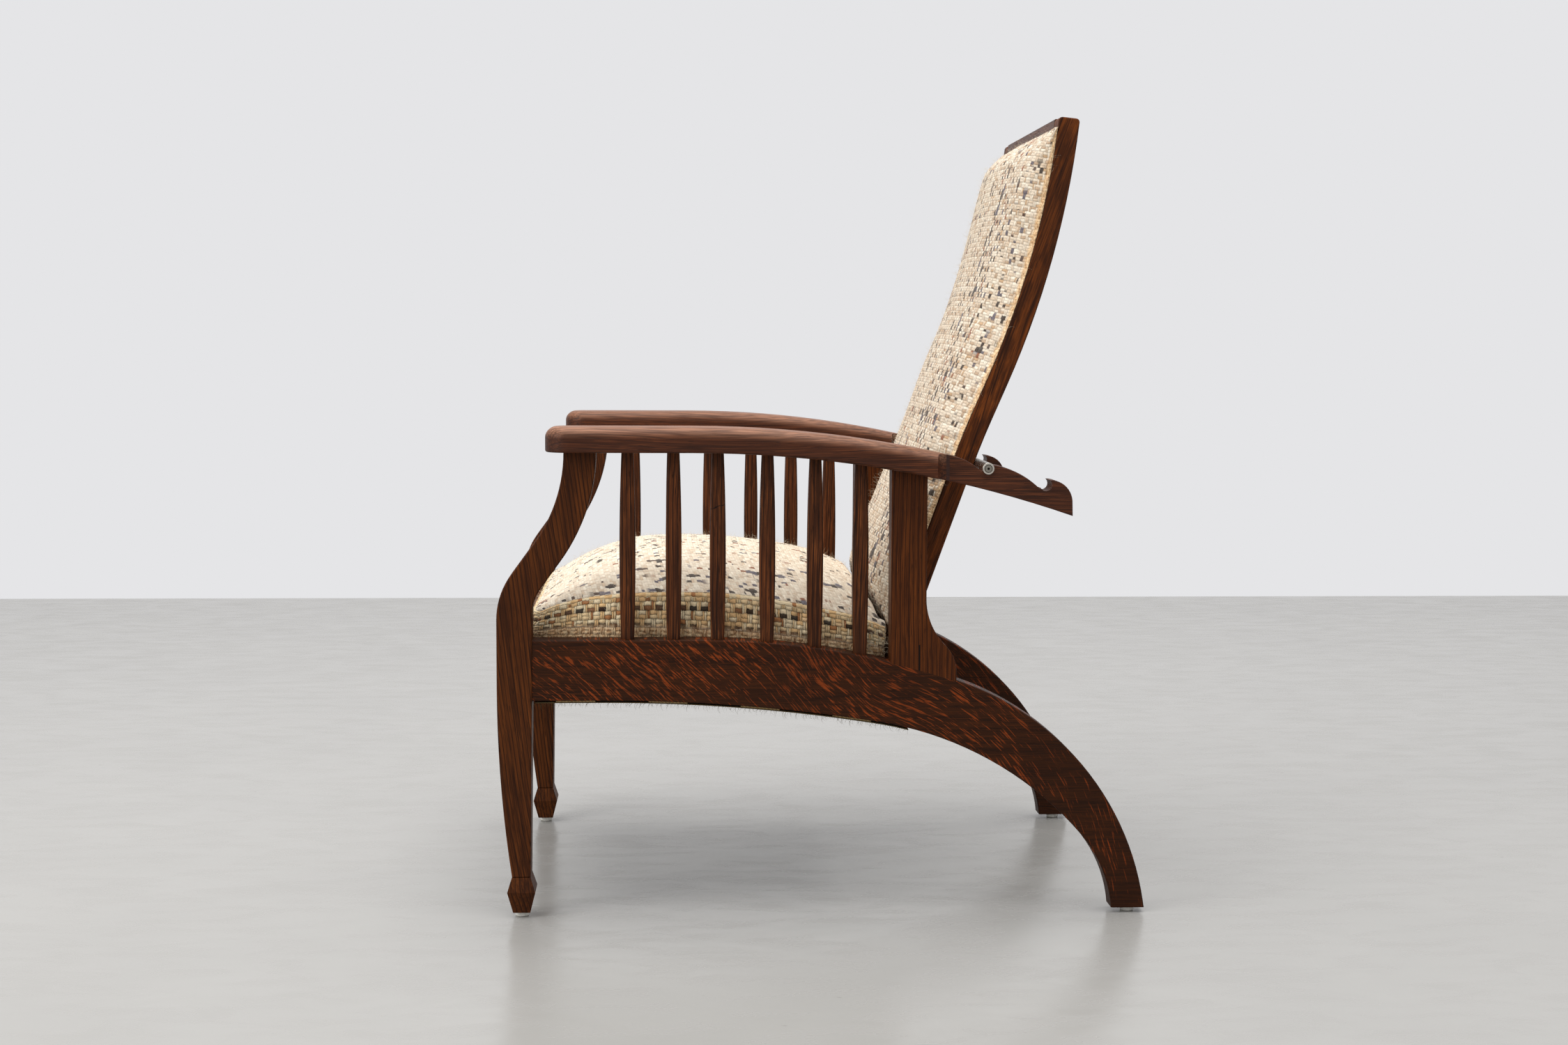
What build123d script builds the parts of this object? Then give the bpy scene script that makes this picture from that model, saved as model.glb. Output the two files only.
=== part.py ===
from build123d import *
import math
import os

# Mission reclining armchair: an oak frame with spindled sides and sabre rear legs, a sprung seat,
# and a padded back that is hinged at its foot and leans on a steel rod in notches of the arms.
# +Z is up, the chair faces -Y and X runs across it. The origin is on the floor, under the middle
# of the chair. Lengths are millimetres. "behind" is a distance behind the chair's front and
# "height" is above the floor. Left is the sitter's left, at +X.

# Whole chair
chair_depth = 839.7
glide_height = 7.0
side_middle = 278.0
overrun = 30.0
wood_ease = 2.0
fine_ease = 1.0

# Front legs
leg_thickness = 38.0
leg_top_behind = 86.0
leg_top_width = 41.0
leg_width = 45.0
leg_slant = 36.0
leg_shoulder_radius = 197.0
leg_knee_radius = 100.0
leg_taper_top = 300.0
leg_taper_in = 18.0
leg_taper_rear = 3.0
neck_height = 54.0
foot_widest_height = 35.0
foot_widest_width = 36.0
foot_widest_across = 46.0
sole_width = 22.0
sole_across = 30.0

# Glides under the four feet
glide_radius = 8.9
glide_rim = 2.0
glide_nail_radius = 1.2
glide_nail_length = 14.0
rear_glide_behind = 820.0

# Side rails, each one board with its sabre rear leg
rail_thickness = 34.0
rail_top = 361.0
rail_bottom = 283.0
rail_top_flat = 215.0
rail_top_radius = 1054.0
rail_top_run = 329.20
sabre_back_run = 249.40
sabre_back_end_turn = 81.2
rail_bottom_flat = 85.0
rail_bottom_radius = 2237.0
rail_bottom_run = 357.65
sabre_front_run = 266.91
sabre_front_end_turn = 49.2
ankle_radius = 175.5
ankle_turn = 36.0

# Rear posts with their glued heels
post_before_hinge = 33.0
post_width = 46.0
flare_rise = 81.6
flare_turn = 45.0
flare_hollow_radius = 86.0
flare_round_radius = 50.0
heel_width = 20.0

# Arms
arm_front_behind = 63.0
arm_bottom = 602.0
arm_thickness = 32.0
arm_inner = 245.0
arm_width = 80.0
arm_flat_before_rod = 376.0
arm_radius = 1500.0
arm_turn = 18.9
arm_corner_radius = 30.0
arm_round_over = 14.0
arm_under_ease = 3.0
cove_before_rod = 45.0
cove_radius = 22.0
bracket_inner = 267.0
bracket_thickness = 38.0

# Support rod and its notches
rod_radius = 7.5
rod_wall = 1.5
rod_past_hinge = 89.0
rod_height = 582.0
rod_overhang = 4.0
notch_clearance = 0.3
rear_notch_past_rod = 75.0
rear_notch_height = 561.0
swoop_shares = (-2.85, 0.9)
front_lip_shares = (-1.2, -0.42)
front_tip_shares = (1.05, 0.55)
saddle_shares = (-4.0, 1.62)
rear_lip_shares = (-1.05, -0.62)
hook_tip_shares = (0.68, 0.8)
hook_back_shares = (2.9, 0.1)
bracket_tail_shares = (4.4, -2.6)
plug_cap = 3.0
plug_insert = 18.0
plug_groove_radius = 5.6
plug_groove_width = 0.6
plug_groove_depth = 0.5
plug_hole_radius = 1.3

# Spindles, six a side
spindle_place_shares = (0.33036, 0.44742, 0.55952, 0.68552, 0.80754, 0.92361)
spindle_foot_width = 14.4
spindle_widest_width = 20.4
spindle_head_width = 12.2
spindle_widest_share = 0.46
spindle_ease = 3.0
tenon_radius = 5.0
tenon_length = 13.0
hole_clearance = 0.05

# Dowels of the frame's joints
dowel_radius = 4.0
dowel_length = 44.0
dowel_inset = 12.0

# Seat rails and corner blocks
seat_rail_thickness = 22.0
front_rail_behind = 8.0
rear_rail_height = 100.0
block_leg = 52.0
block_bottom = 286.0
block_height = 34.0
screw_radius = 2.0
screw_head_radius = 4.2
screw_head_height = 2.6
block_screw_length = 46.0

# Seat springing and cloths
strap_width = 50.0
strap_thickness = 2.0
long_strap_count = 7
cross_strap_count = 4
strap_field_front = 100.0
strap_field_margin = 78.6
strap_field_side = 195.0
strap_end_inset = 5.0
cloth_thickness = 1.2
cloth_gap = 0.3
spring_count = 3
spring_pitch_across = 130.0
spring_first_behind = 120.0
spring_pitch_along = 125.0
spring_wire_radius = 1.6
spring_end_radius = 24.0
spring_waist_radius = 19.0
spring_turns = 4
spring_quarters = 4

# Seat cushion
cushion_half_width = 256.0
cushion_before_hinge = 37.0
cushion_under_front = 352.0
cushion_under_rear = 325.0
cushion_seam_rise = 61.0
cushion_crown = 45.0
cushion_side_draw = 6.0
cushion_back_gap = 1.0
cushion_along_seam_crown_shares = [
    (0.0, 0.36, 0.06),
    (0.03, 0.6, 0.1),
    (0.07, 0.72, 0.27),
    (0.12, 0.82, 0.56),
    (0.2, 0.9, 0.78),
    (0.33, 0.98, 0.93),
    (0.49, 1.0, 1.0),
    (0.64, 0.93, 0.96),
    (0.77, 0.82, 0.84),
    (0.87, 0.74, 0.73),
    (1.0, 0.64, 0.62),
]

# Back frame
back_half_width = 230.0
stile_width = 34.0
stile_depth = 27.5
hinge_behind = 537.0
hinge_height = 347.5
hinge_proud = 3.4
back_rest_gap = 0.2
tip_forward_turn = 8.0
stile_lower_length = 245.0
stile_bend_radius = 1000.0
stile_bend_turn = 3.6
stile_middle_length = 52.0
stile_bow_radius = 1150.0
stile_bow_turn = 17.4
stile_corner = 5.0
top_rail_height = 62.0
bottom_rail_height = 58.0
back_strap_count = 5
lining_inset = 3.0

# Back pad
pad_side_inset = 1.0
pad_top_margin = 19.0
pad_foot_margin = 16.0
pad_edge = 18.0
pad_crown = 48.0
pad_gap = 0.4
pad_spans = 16
pad_end_share = 0.15
pad_roundness = 10

# Hinges
hinge_across = 130.0
hinge_length = 64.0
leaf_width = 20.0
leaf_thickness = 1.6
leaf_play = 0.1
knuckle_radius = 3.2
pin_radius = 1.6
pin_clearance = 0.05
knuckle_play = 0.3
knuckle_count = 5
hinge_screw_spacing = 22.0
leaf_screw_share = 0.6
hinge_screw_radius = 1.5
hinge_screw_head_radius = 2.8
hinge_screw_head_height = 1.4
hinge_screw_length = 14.0

# Places that follow from these
leg_inner = side_middle - leg_thickness / 2
leg_outer = side_middle + leg_thickness / 2
rail_inner = side_middle - rail_thickness / 2
rail_outer = side_middle + rail_thickness / 2
rail_start = leg_width
rail_top_turn = math.degrees(math.asin(rail_top_run / rail_top_radius))
rail_bottom_turn = math.degrees(math.asin(rail_bottom_run / rail_bottom_radius))
sabre_back_turn = sabre_back_end_turn - rail_top_turn
sabre_front_turn = sabre_front_end_turn - rail_bottom_turn
arm_outer = arm_inner + arm_width
back_reach = (0, hinge_behind * 2)
bracket_outer = bracket_inner + bracket_thickness
notch_radius = rod_radius + notch_clearance
rod_half_length = bracket_outer + rod_overhang
front_glide_behind = (leg_taper_in + leg_width - leg_taper_rear) / 2
front_rail_rear = front_rail_behind + seat_rail_thickness
cushion_front = front_rail_rear + cloth_gap * 2
rear_rail_rear = hinge_behind - hinge_proud
post_front_behind = hinge_behind - post_before_hinge
rod_behind = hinge_behind + rod_past_hinge
rear_notch_behind = rod_behind + rear_notch_past_rod
cove_behind = rod_behind - cove_before_rod
arm_flat_end = rod_behind - arm_flat_before_rod
strap_field_rear = rear_rail_rear - strap_field_margin
cushion_rear = hinge_behind - cushion_before_hinge
rear_rail_top = hinge_height - leaf_play - leaf_thickness
pin_to_rod = (rod_behind - hinge_behind, rod_height - hinge_height)
rod_behind_pin = rod_radius + back_rest_gap - hinge_proud
back_lean = math.degrees(
    math.atan2(*pin_to_rod) - math.asin(rod_behind_pin / math.hypot(*pin_to_rod))
)


def at(behind, height):
    """A point of the side view."""
    return (behind - chair_depth / 2, height)


def heading(degrees):
    return Vector(math.cos(math.radians(degrees)), math.sin(math.radians(degrees)))


def trail(start, degrees, steps):
    """Edges that run on from each other, where a step is (length, 0) or (radius, turn)."""
    edges = []
    point, course = Vector(*start), heading(degrees)
    for size, turn in steps:
        if turn == 0:
            edge = Line(point, point + course * size)
        else:
            edge = JernArc(point, course, size, turn)
        edges.append(edge)
        point, course = edge @ 1, edge % 1
    return edges


def between(first, second):
    """The face between two trails that run the same way."""
    ends = [Line(first[0] @ 0, second[0] @ 0), Line(first[-1] @ 1, second[-1] @ 1)]
    return make_face([*first, *second, *ends])


def board(face, inner, outer):
    """A side-view face cut from a board that lies between two places across the chair."""
    return extrude(Plane.YZ.offset(inner) * face, amount=outer - inner, dir=(1, 0, 0))


def eased(solid, radius):
    """Rounds the rims of a board's inner and outer faces."""
    faces = solid.faces().sort_by(Axis.X)
    return fillet(faces[0].edges() + faces[-1].edges(), radius)


def block(across, behind, heights):
    """A box between pairs of places."""
    size = [across[1] - across[0], behind[1] - behind[0], heights[1] - heights[0]]
    middle_y, middle_z = at(sum(behind) / 2, sum(heights) / 2)
    return Pos(sum(across) / 2, middle_y, middle_z) * Box(*size)


def peg(radius, start, end):
    """A round rod between two points."""
    start, end = Vector(*start), Vector(*end)
    plane = Plane(origin=start, z_dir=end - start)
    return plane * Cylinder(radius, (end - start).length, align=(Align.CENTER, Align.CENTER, Align.MIN))


def fall(run, radius):
    """How far a level curve has dropped after a run along its arc."""
    return radius - math.sqrt(radius**2 - max(run, 0) ** 2)


def bend_radius(run, start, end):
    """The radius of a bend that takes this run between two slopes."""
    return run / (math.sin(math.radians(end)) - math.sin(math.radians(start)))


def rail_top_at(behind):
    return rail_top - fall(behind - rail_start - rail_top_flat, rail_top_radius)


def rail_bottom_at(behind):
    return rail_bottom - fall(behind - rail_start - rail_bottom_flat, rail_bottom_radius)


def arm_bottom_at(behind):
    return arm_bottom - fall(behind - arm_flat_end, arm_radius)


def mirrored(shape):
    return mirror(shape, about=Plane.YZ)


def screw(radius, head_radius, head_height, length):
    """A countersunk screw that points up from its head at the origin."""
    low = (Align.CENTER, Align.CENTER, Align.MIN)
    head = Cone(head_radius, radius, head_height, align=low)
    return head + Cylinder(radius, length, align=low)


def rail_bottom_steps(shift):
    """The side rail's underside, from the front leg to the sabre leg, shifted upwards."""
    return [
        (rail_bottom_flat, 0),
        (rail_bottom_radius + shift, -rail_bottom_turn),
        (
            bend_radius(sabre_front_run, rail_bottom_turn, sabre_front_end_turn) + shift,
            -sabre_front_turn,
        ),
    ]


def under_band(low, high, across, behind):
    """A thin band that follows the rails' underside between two shifts from it."""
    edges = [trail(at(rail_start, rail_bottom + s), 0, rail_bottom_steps(s)) for s in (low, high)]
    lead = [Line(at(0, rail_bottom + s), at(rail_start, rail_bottom + s)) for s in (low, high)]
    face = between([lead[0], *edges[0]], [lead[1], *edges[1]])
    return board(face, *across) & block(across, behind, (0, arm_bottom))


def arm_top_at(behind):
    return arm_bottom + arm_thickness - fall(behind - arm_flat_end, arm_radius + arm_thickness)


# The two sides of the frame

def make_arm():
    """A rounded plank whose rear end narrows, in a hollow on each side, to a notched bracket."""
    steps = [(arm_flat_end - arm_front_behind, 0), (arm_radius, -arm_turn)]
    high_steps = [steps[0], (arm_radius + arm_thickness, -arm_turn)]
    side = between(
        trail(at(arm_front_behind, arm_bottom), 0, steps),
        trail(at(arm_front_behind, arm_bottom + arm_thickness), 0, high_steps),
    )
    reach = (arm_front_behind, cove_behind)
    plank = board(side, arm_inner, arm_outer)
    plank &= block((arm_inner, arm_outer), reach, (arm_bottom - arm_width, arm_bottom + arm_width))
    plank = fillet(plank.edges().filter_by(Axis.Z).sort_by(Axis.Y)[:2], arm_corner_radius)

    def rim(height_at):
        """The edges round a face that has this height, without its rear end and its own seam."""
        found = []
        for edge in plank.edges():
            spot = edge @ 0.5
            behind = spot.Y + chair_depth / 2
            level = abs(spot.Z - height_at(behind)) < fine_ease
            side = abs(spot.X - (arm_inner + arm_outer) / 2) > arm_width / 2 - arm_corner_radius
            front = behind < arm_front_behind + fine_ease
            if level and (side or front):
                found.append(edge)
        return found

    plank = fillet(rim(arm_top_at), arm_round_over)
    plank = fillet(rim(arm_bottom_at), arm_under_ease)
    y, z = at(cove_behind, arm_bottom)
    for middle in (bracket_outer + cove_radius, bracket_inner - cove_radius):
        plank -= Pos(middle, y, z) * Cylinder(cove_radius, arm_width * 2)
    return plank + make_bracket()


def make_bracket():
    """The arm's rear end, with the two notches that take the rod."""
    front, rear = (rod_behind, rod_height), (rear_notch_behind, rear_notch_height)
    low = trail(at(arm_flat_end, arm_bottom), 0, [(arm_radius, -arm_turn)])

    def beside(notch, shares):
        """A point by a notch: how far behind and above its middle, in shares of its radius."""
        return at(notch[0] + shares[0] * notch_radius, notch[1] + shares[1] * notch_radius)

    shoulder = at(cove_behind, arm_top_at(cove_behind))
    front_lip, front_tip = beside(front, front_lip_shares), beside(front, front_tip_shares)
    rear_lip, hook_tip = beside(rear, rear_lip_shares), beside(rear, hook_tip_shares)
    tail = beside(rear, bracket_tail_shares)
    high = [
        Line(at(arm_flat_end, arm_bottom + arm_thickness / 2), shoulder),
        ThreePointArc(shoulder, beside(front, swoop_shares), front_lip),
        Line(front_lip, front_tip),
        ThreePointArc(front_tip, beside(rear, saddle_shares), rear_lip),
        Line(rear_lip, hook_tip),
        ThreePointArc(hook_tip, beside(rear, hook_back_shares), tail),
    ]
    bracket = eased(board(between(low, high), bracket_inner, bracket_outer), fine_ease)
    for notch in (front, rear):
        y, z = at(*notch)
        bracket -= peg(notch_radius, (bracket_inner - overrun, y, z), (bracket_outer + overrun, y, z))
    return bracket


def make_leg():
    """A front leg: it curves forwards below the arm, then tapers to a spade foot."""
    top = arm_bottom + overrun
    slant = math.radians(leg_slant)
    sine, sway = math.sin(slant), 1 - math.cos(slant)
    turns = (leg_shoulder_radius + leg_knee_radius) * sway
    front_run = (leg_top_behind - turns) / sine
    rear_run = (leg_top_behind + leg_top_width - leg_width - turns) / sine
    drop = (leg_shoulder_radius + leg_knee_radius) * sine
    front_knee = arm_bottom - drop - front_run * math.cos(slant)
    rear_knee = arm_bottom - drop - rear_run * math.cos(slant)
    shank = leg_taper_top - neck_height
    taper_radius = (shank**2 + leg_taper_in**2) / (2 * leg_taper_in)
    taper_turn = math.degrees(math.asin(shank / taper_radius))
    front = [
        (overrun, 0),
        (leg_shoulder_radius, -leg_slant),
        (front_run, 0),
        (leg_knee_radius, leg_slant),
        (front_knee - leg_taper_top, 0),
        (taper_radius, taper_turn),
    ]
    rear = [
        (overrun, 0),
        (leg_shoulder_radius + leg_top_width, -leg_slant),
        (rear_run, 0),
        (leg_knee_radius - leg_top_width, leg_slant),
        (rear_knee - leg_taper_top, 0),
    ]
    front_edges = trail(at(leg_top_behind, top), -90, front)
    rear_edges = trail(at(leg_top_behind + leg_top_width, top), -90, rear)
    ankle = at(leg_width - leg_taper_rear, neck_height)
    rear_edges.append(Line(rear_edges[-1] @ 1, ankle))
    shape = eased(board(between(front_edges, rear_edges), leg_inner, leg_outer), wood_ease)
    shape -= block((leg_inner, leg_outer), (0, leg_width), (0, neck_height))
    shape -= block((leg_inner, leg_outer), (0, arm_flat_end), (arm_bottom, top + overrun))
    neck_width = leg_width - leg_taper_rear - leg_taper_in
    levels = [
        (neck_height, neck_width, leg_thickness),
        (foot_widest_height, foot_widest_width, foot_widest_across),
        (glide_height, sole_width, sole_across),
    ]
    y = at(front_glide_behind, 0)[0]
    foot = [Pos(side_middle, y, z) * Rectangle(across, width) for z, width, across in levels]
    return shape + loft(foot, ruled=True)


def make_side_rail():
    """A side rail that runs on into the sabre rear leg, sawn from one board."""
    top = [
        (overrun + rail_top_flat, 0),
        (rail_top_radius, -rail_top_turn),
        (bend_radius(sabre_back_run, rail_top_turn, sabre_back_end_turn), -sabre_back_turn),
        (overrun, 0),
    ]
    bottom = [
        (overrun + rail_bottom_flat, 0),
        (rail_bottom_radius, -rail_bottom_turn),
        (bend_radius(sabre_front_run, rail_bottom_turn, sabre_front_end_turn), -sabre_front_turn),
        (ankle_radius, -ankle_turn),
        (overrun, 0),
    ]
    start = rail_start - overrun
    side = between(trail(at(start, rail_top), 0, top), trail(at(start, rail_bottom), 0, bottom))
    shape = eased(board(side, rail_inner, rail_outer), wood_ease)
    shape -= block((rail_inner, rail_outer), (start, rail_start), (0, rail_top))
    return shape - block((rail_inner, rail_outer), (0, hinge_behind * 2), (-overrun * 2, glide_height))


def make_post(rail, arm):
    """The rear post and the small heel that is glued behind its flared foot."""
    front = [Line(at(post_front_behind, arm_bottom), at(post_front_behind, rail_bottom))]
    rear = trail(
        at(post_front_behind + post_width, arm_bottom),
        -90,
        [
            (arm_bottom - rail_top_at(post_front_behind) - flare_rise, 0),
            (flare_hollow_radius, flare_turn),
            (flare_round_radius, -flare_turn),
        ],
    )
    rear.append(Line(rear[-1] @ 1, ((rear[-1] @ 1).X, at(0, rail_bottom)[1])))
    shape = eased(board(between(front, rear), rail_inner, rail_outer), fine_ease)
    shape = shape - rail - arm
    flare = (flare_hollow_radius + flare_round_radius) * (1 - math.cos(math.radians(flare_turn)))
    glue = post_front_behind + post_width + flare - heel_width
    behind = block((rail_inner, rail_outer), (glue, glue + arm_width), (0, arm_bottom))
    return (shape - behind).solids().sort_by(SortBy.VOLUME)[-1], shape & behind


def make_spindle(behind, rail, arm):
    """A slim square spindle that swells between its ends, with a round tenon at each."""
    foot, head = rail_top_at(behind), arm_bottom_at(behind)
    low, high = foot - overrun, head + overrun
    waist = foot + (head - foot) * spindle_widest_share

    def swell(x):
        half = [w / 2 for w in (spindle_foot_width, spindle_widest_width, spindle_head_width)]
        sides = [
            ThreePointArc((x + s * half[0], low), (x + s * half[1], waist), (x + s * half[2], high))
            for s in (-1, 1)
        ]
        return between([sides[0]], [sides[1]])

    y = at(behind, 0)[0]
    span = spindle_widest_width * 2
    side = board(swell(y), side_middle - span, side_middle + span)
    face = Plane.XZ.offset(-y - span) * swell(side_middle)
    shape = side & extrude(face, amount=span * 2, dir=(0, -1, 0))
    shape = fillet(shape.edges().sort_by(SortBy.LENGTH)[-4:], spindle_ease)
    shape = shape - rail - arm
    shape = shape.solids().sort_by(SortBy.VOLUME)[-1]
    tenon = peg(tenon_radius, (side_middle, y, foot - tenon_length), (side_middle, y, head + tenon_length))
    return shape + tenon


def spindle_places():
    return [post_front_behind * share for share in spindle_place_shares]


def make_glides():
    """Four domed glides with nails."""
    solids = []
    for behind in (front_glide_behind, rear_glide_behind):
        y = at(behind, 0)[0]
        pad = Pos(side_middle, y, glide_height / 2) * Cylinder(glide_radius, glide_height)
        pad = fillet(pad.edges().sort_by(Axis.Z)[0], glide_rim)
        nail_top = (side_middle, y, glide_height + glide_nail_length)
        nail = peg(glide_nail_radius, (side_middle, y, glide_rim), nail_top)
        glide = pad + nail
        solids += [glide, mirrored(glide)]
    return solids


def dowel_lines():
    """Where the dowels of one side run: their two ends, as points."""
    lines = []
    half = dowel_length / 2
    for height in (rail_top - dowel_inset * 2, rail_bottom + dowel_inset * 2):
        y, z = at(rail_start, height)
        lines.append(((side_middle, y - half, z), (side_middle, y + half, z)))
    for height in (rail_top - dowel_inset * 2, rail_bottom + dowel_inset * 2):
        y, z = at(front_rail_behind + seat_rail_thickness / 2, height)
        lines.append(((leg_inner - half, y, z), (leg_inner + half / 2, y, z)))
    for inset in (-dowel_inset, dowel_inset):
        behind = leg_top_behind + leg_top_width / 2 + inset
        y, z = at(behind, arm_bottom)
        lines.append(((side_middle, y, z - half), (side_middle, y, z + half / 2)))
    for inset in (-dowel_inset, dowel_inset):
        behind = post_front_behind + post_width / 2 + inset
        y, z = at(behind, arm_bottom_at(behind))
        lines.append(((side_middle, y, z - half), (side_middle, y, z + half / 2)))
        y, z = at(behind, rail_top_at(behind))
        lines.append(((side_middle, y, z - half), (side_middle, y, z + half)))
    middle = rear_rail_top - rear_rail_height / 2
    for height in (middle - dowel_inset, middle + dowel_inset):
        y, z = at(rear_rail_rear - seat_rail_thickness / 2, height)
        lines.append(((rail_inner - half, y, z), (rail_inner + half / 2, y, z)))
    return lines


# Seat

def make_seat_rails():
    front_bottom = rail_bottom + strap_thickness
    front = block(
        (-leg_inner, leg_inner),
        (front_rail_behind, front_rail_rear),
        (front_bottom, rail_top),
    )
    rear_reach = (rear_rail_rear - seat_rail_thickness, rear_rail_rear)
    rear = block((-rail_inner, rail_inner), rear_reach, (rear_rail_top - rear_rail_height, rear_rail_top))
    above = under_band(strap_thickness, rear_rail_height, (-rail_inner, rail_inner), rear_reach)
    return front, rear & above


def block_outlines():
    """The left corner blocks from above: the diagonal face runs from the last point to the first."""
    y_front = at(front_rail_rear, 0)[0]
    y_leg = at(rail_start, 0)[0]
    y_rear = at(rear_rail_rear - seat_rail_thickness, 0)[0]
    front = [
        (leg_inner - block_leg, y_front),
        (leg_inner, y_front),
        (leg_inner, y_leg),
        (rail_inner, y_leg),
        (rail_inner, y_leg + block_leg),
    ]
    rear = [
        (rail_inner, y_rear - block_leg),
        (rail_inner, y_rear),
        (rail_inner - block_leg, y_rear),
    ]
    return [front, rear]


def make_corner_blocks():
    """The two left blocks that brace the seat's corners."""
    faces = [make_face(Polyline(*points, close=True).edges()) for points in block_outlines()]
    return [extrude(Pos(0, 0, block_bottom) * face, amount=block_height) for face in faces]


def make_block_screws():
    """One screw through the middle of each left block's diagonal face."""
    screws = []
    for points in block_outlines():
        first, last = Vector(*points[0]), Vector(*points[-1])
        middle = (first + last) / 2 + Vector(0, 0, block_bottom + block_height / 2)
        course = (last - first).cross(Vector(0, 0, 1))
        screws.append(
            Plane(origin=middle, z_dir=course)
            * screw(screw_radius, screw_head_radius, screw_head_height, block_screw_length)
        )
    return screws


def strap_places(first, last, count):
    return [first + (last - first) * i / (count - 1) for i in range(count)]


def make_webbing():
    """Straps along the seat, over straps across it, both on the rails' undersides."""
    along_reach = (front_rail_behind + strap_end_inset, rear_rail_rear - strap_end_inset)
    across_reach = rail_outer - strap_end_inset
    along = [
        under_band(0, strap_thickness, (x - strap_width / 2, x + strap_width / 2), along_reach)
        for x in strap_places(-strap_field_side, strap_field_side, long_strap_count)
    ]
    across = [
        under_band(
            -strap_thickness,
            0,
            (-across_reach, across_reach),
            (behind - strap_width / 2, behind + strap_width / 2),
        )
        for behind in strap_places(strap_field_front, strap_field_rear, cross_strap_count)
    ]
    return along, across


def make_dust_cloth():
    """The cloth under the webbing, cut out round the front legs."""
    drop = strap_thickness + cloth_gap
    half = rail_outer - strap_end_inset
    reach = (front_rail_behind + strap_end_inset, rear_rail_rear - strap_end_inset)
    cloth = under_band(-drop - cloth_thickness, -drop, (-half, half), reach)
    corner = block(
        (leg_inner - cloth_gap, rail_outer), (0, leg_width + cloth_gap), (0, rail_top)
    )
    return cloth - corner - mirrored(corner)


def cushion_under_at(behind):
    share = (behind - cushion_front) / (cushion_rear - cushion_front)
    return cushion_under_front + (cushion_under_rear - cushion_under_front) * share


def make_spring(middle, low, high):
    """A coil spring with a waist, one wire from end to end, in arcs of a quarter turn."""
    count = spring_turns * spring_quarters

    def place(step):
        share = step / count
        bulge = (2 * share - 1) ** 2
        radius = spring_waist_radius + (spring_end_radius - spring_waist_radius) * bulge
        angle = 2 * math.pi * step / spring_quarters
        height = low + spring_wire_radius + (high - low - 2 * spring_wire_radius) * share
        return (
            middle[0] + radius * math.cos(angle),
            middle[1] + radius * math.sin(angle),
            height,
        )

    arcs = [ThreePointArc(place(i), place(i + 1 / 2), place(i + 1)) for i in range(count)]
    start = arcs[0] @ 0
    section = Plane(origin=start, z_dir=arcs[0] % 0) * Circle(spring_wire_radius)
    return sweep(section, path=Wire(arcs))


def make_springs():
    springs = []
    for row in range(spring_count):
        behind = spring_first_behind + row * spring_pitch_along
        low = rail_bottom_at(behind) + strap_thickness + cloth_gap
        high = cushion_under_at(behind) - cloth_thickness - 2 * cloth_gap
        for column in range(spring_count):
            across = (column - (spring_count - 1) / 2) * spring_pitch_across
            springs.append(make_spring((across, at(behind, 0)[0]), low, high))
    return springs


def make_spring_cloth():
    """The hessian between the springs and the cushion's stuffing."""
    reach = (cushion_front + overrun / 2, cushion_rear - overrun)
    edges = []
    for drop in (cloth_gap, cloth_gap + cloth_thickness):
        edges.append(Line(*[at(b, cushion_under_at(b) - drop) for b in reach]))
    half = cushion_half_width - cushion_side_draw * 2
    return board(between([edges[0]], [edges[1]]), -half, half)


def make_cushion():
    """The seat's stuffing in its cover, crowned, and hollowed to clear the back tipped forward."""
    sections = []
    for along_share, seam_share, crown_share in cushion_along_seam_crown_shares:
        behind = cushion_front + (cushion_rear - cushion_front) * along_share
        under = cushion_under_at(behind)
        seam = rail_top + cushion_seam_rise * seam_share
        crown = seam + cushion_crown * crown_share
        wide, drawn = cushion_half_width, cushion_half_width - cushion_side_draw
        belly = (under + seam) / 2
        edges = [
            Line((-drawn, under), (drawn, under)),
            ThreePointArc((drawn, under), (wide, belly), (drawn, seam)),
            ThreePointArc((drawn, seam), (0, crown), (-drawn, seam)),
            ThreePointArc((-drawn, seam), (-wide, belly), (-drawn, under)),
        ]
        plane = Plane(origin=(0, at(behind, 0)[0], 0), x_dir=(1, 0, 0), z_dir=(0, -1, 0))
        sections.append(plane * make_face(edges))
    cushion = loft(sections, ruled=True)
    far = cushion_half_width * 2
    half = back_half_width - pad_side_inset
    flat = -(hinge_proud + stile_depth + strap_thickness + pad_gap + cushion_back_gap)
    edge, crown = flat - pad_edge, flat - pad_crown
    behind = [
        Polyline((-half, edge), (-far, edge), (-far, far), (far, far), (far, edge), (half, edge)),
        ThreePointArc((half, edge), (0, crown), (-half, edge)),
    ]
    tipped_back = Pos(0, 0, -far) * extrude(make_face(behind), amount=far * 2)
    return cushion - back_plane(back_lean - tip_forward_turn) * tipped_back


def back_plane(lean):
    """The hinge line's plane: its Z runs up the back at this lean, and its Y points behind it."""
    y, z = at(hinge_behind, hinge_height)
    slope = math.radians(lean)
    return Plane(origin=(0, y, z), x_dir=(1, 0, 0), z_dir=(0, math.sin(slope), math.cos(slope)))


# Back

def stile_trail(forward):
    """The stile's rear edge, or a line this far in front of it, from the foot to the top."""
    foot = back_plane(back_lean) * Pos(0, -hinge_proud - forward, leaf_play + leaf_thickness)
    steps = [
        (stile_lower_length, 0),
        (stile_bend_radius + forward, -stile_bend_turn),
        (stile_middle_length, 0),
        (stile_bow_radius + stile_depth - forward, stile_bow_turn),
    ]
    return trail((foot.position.Y, foot.position.Z), 90 - back_lean, steps)


def back_band(rear, front, inner, outer):
    """A layer of the back between two depths in front of its rear edge."""
    return board(between(stile_trail(rear), stile_trail(front)), inner, outer)


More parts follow.
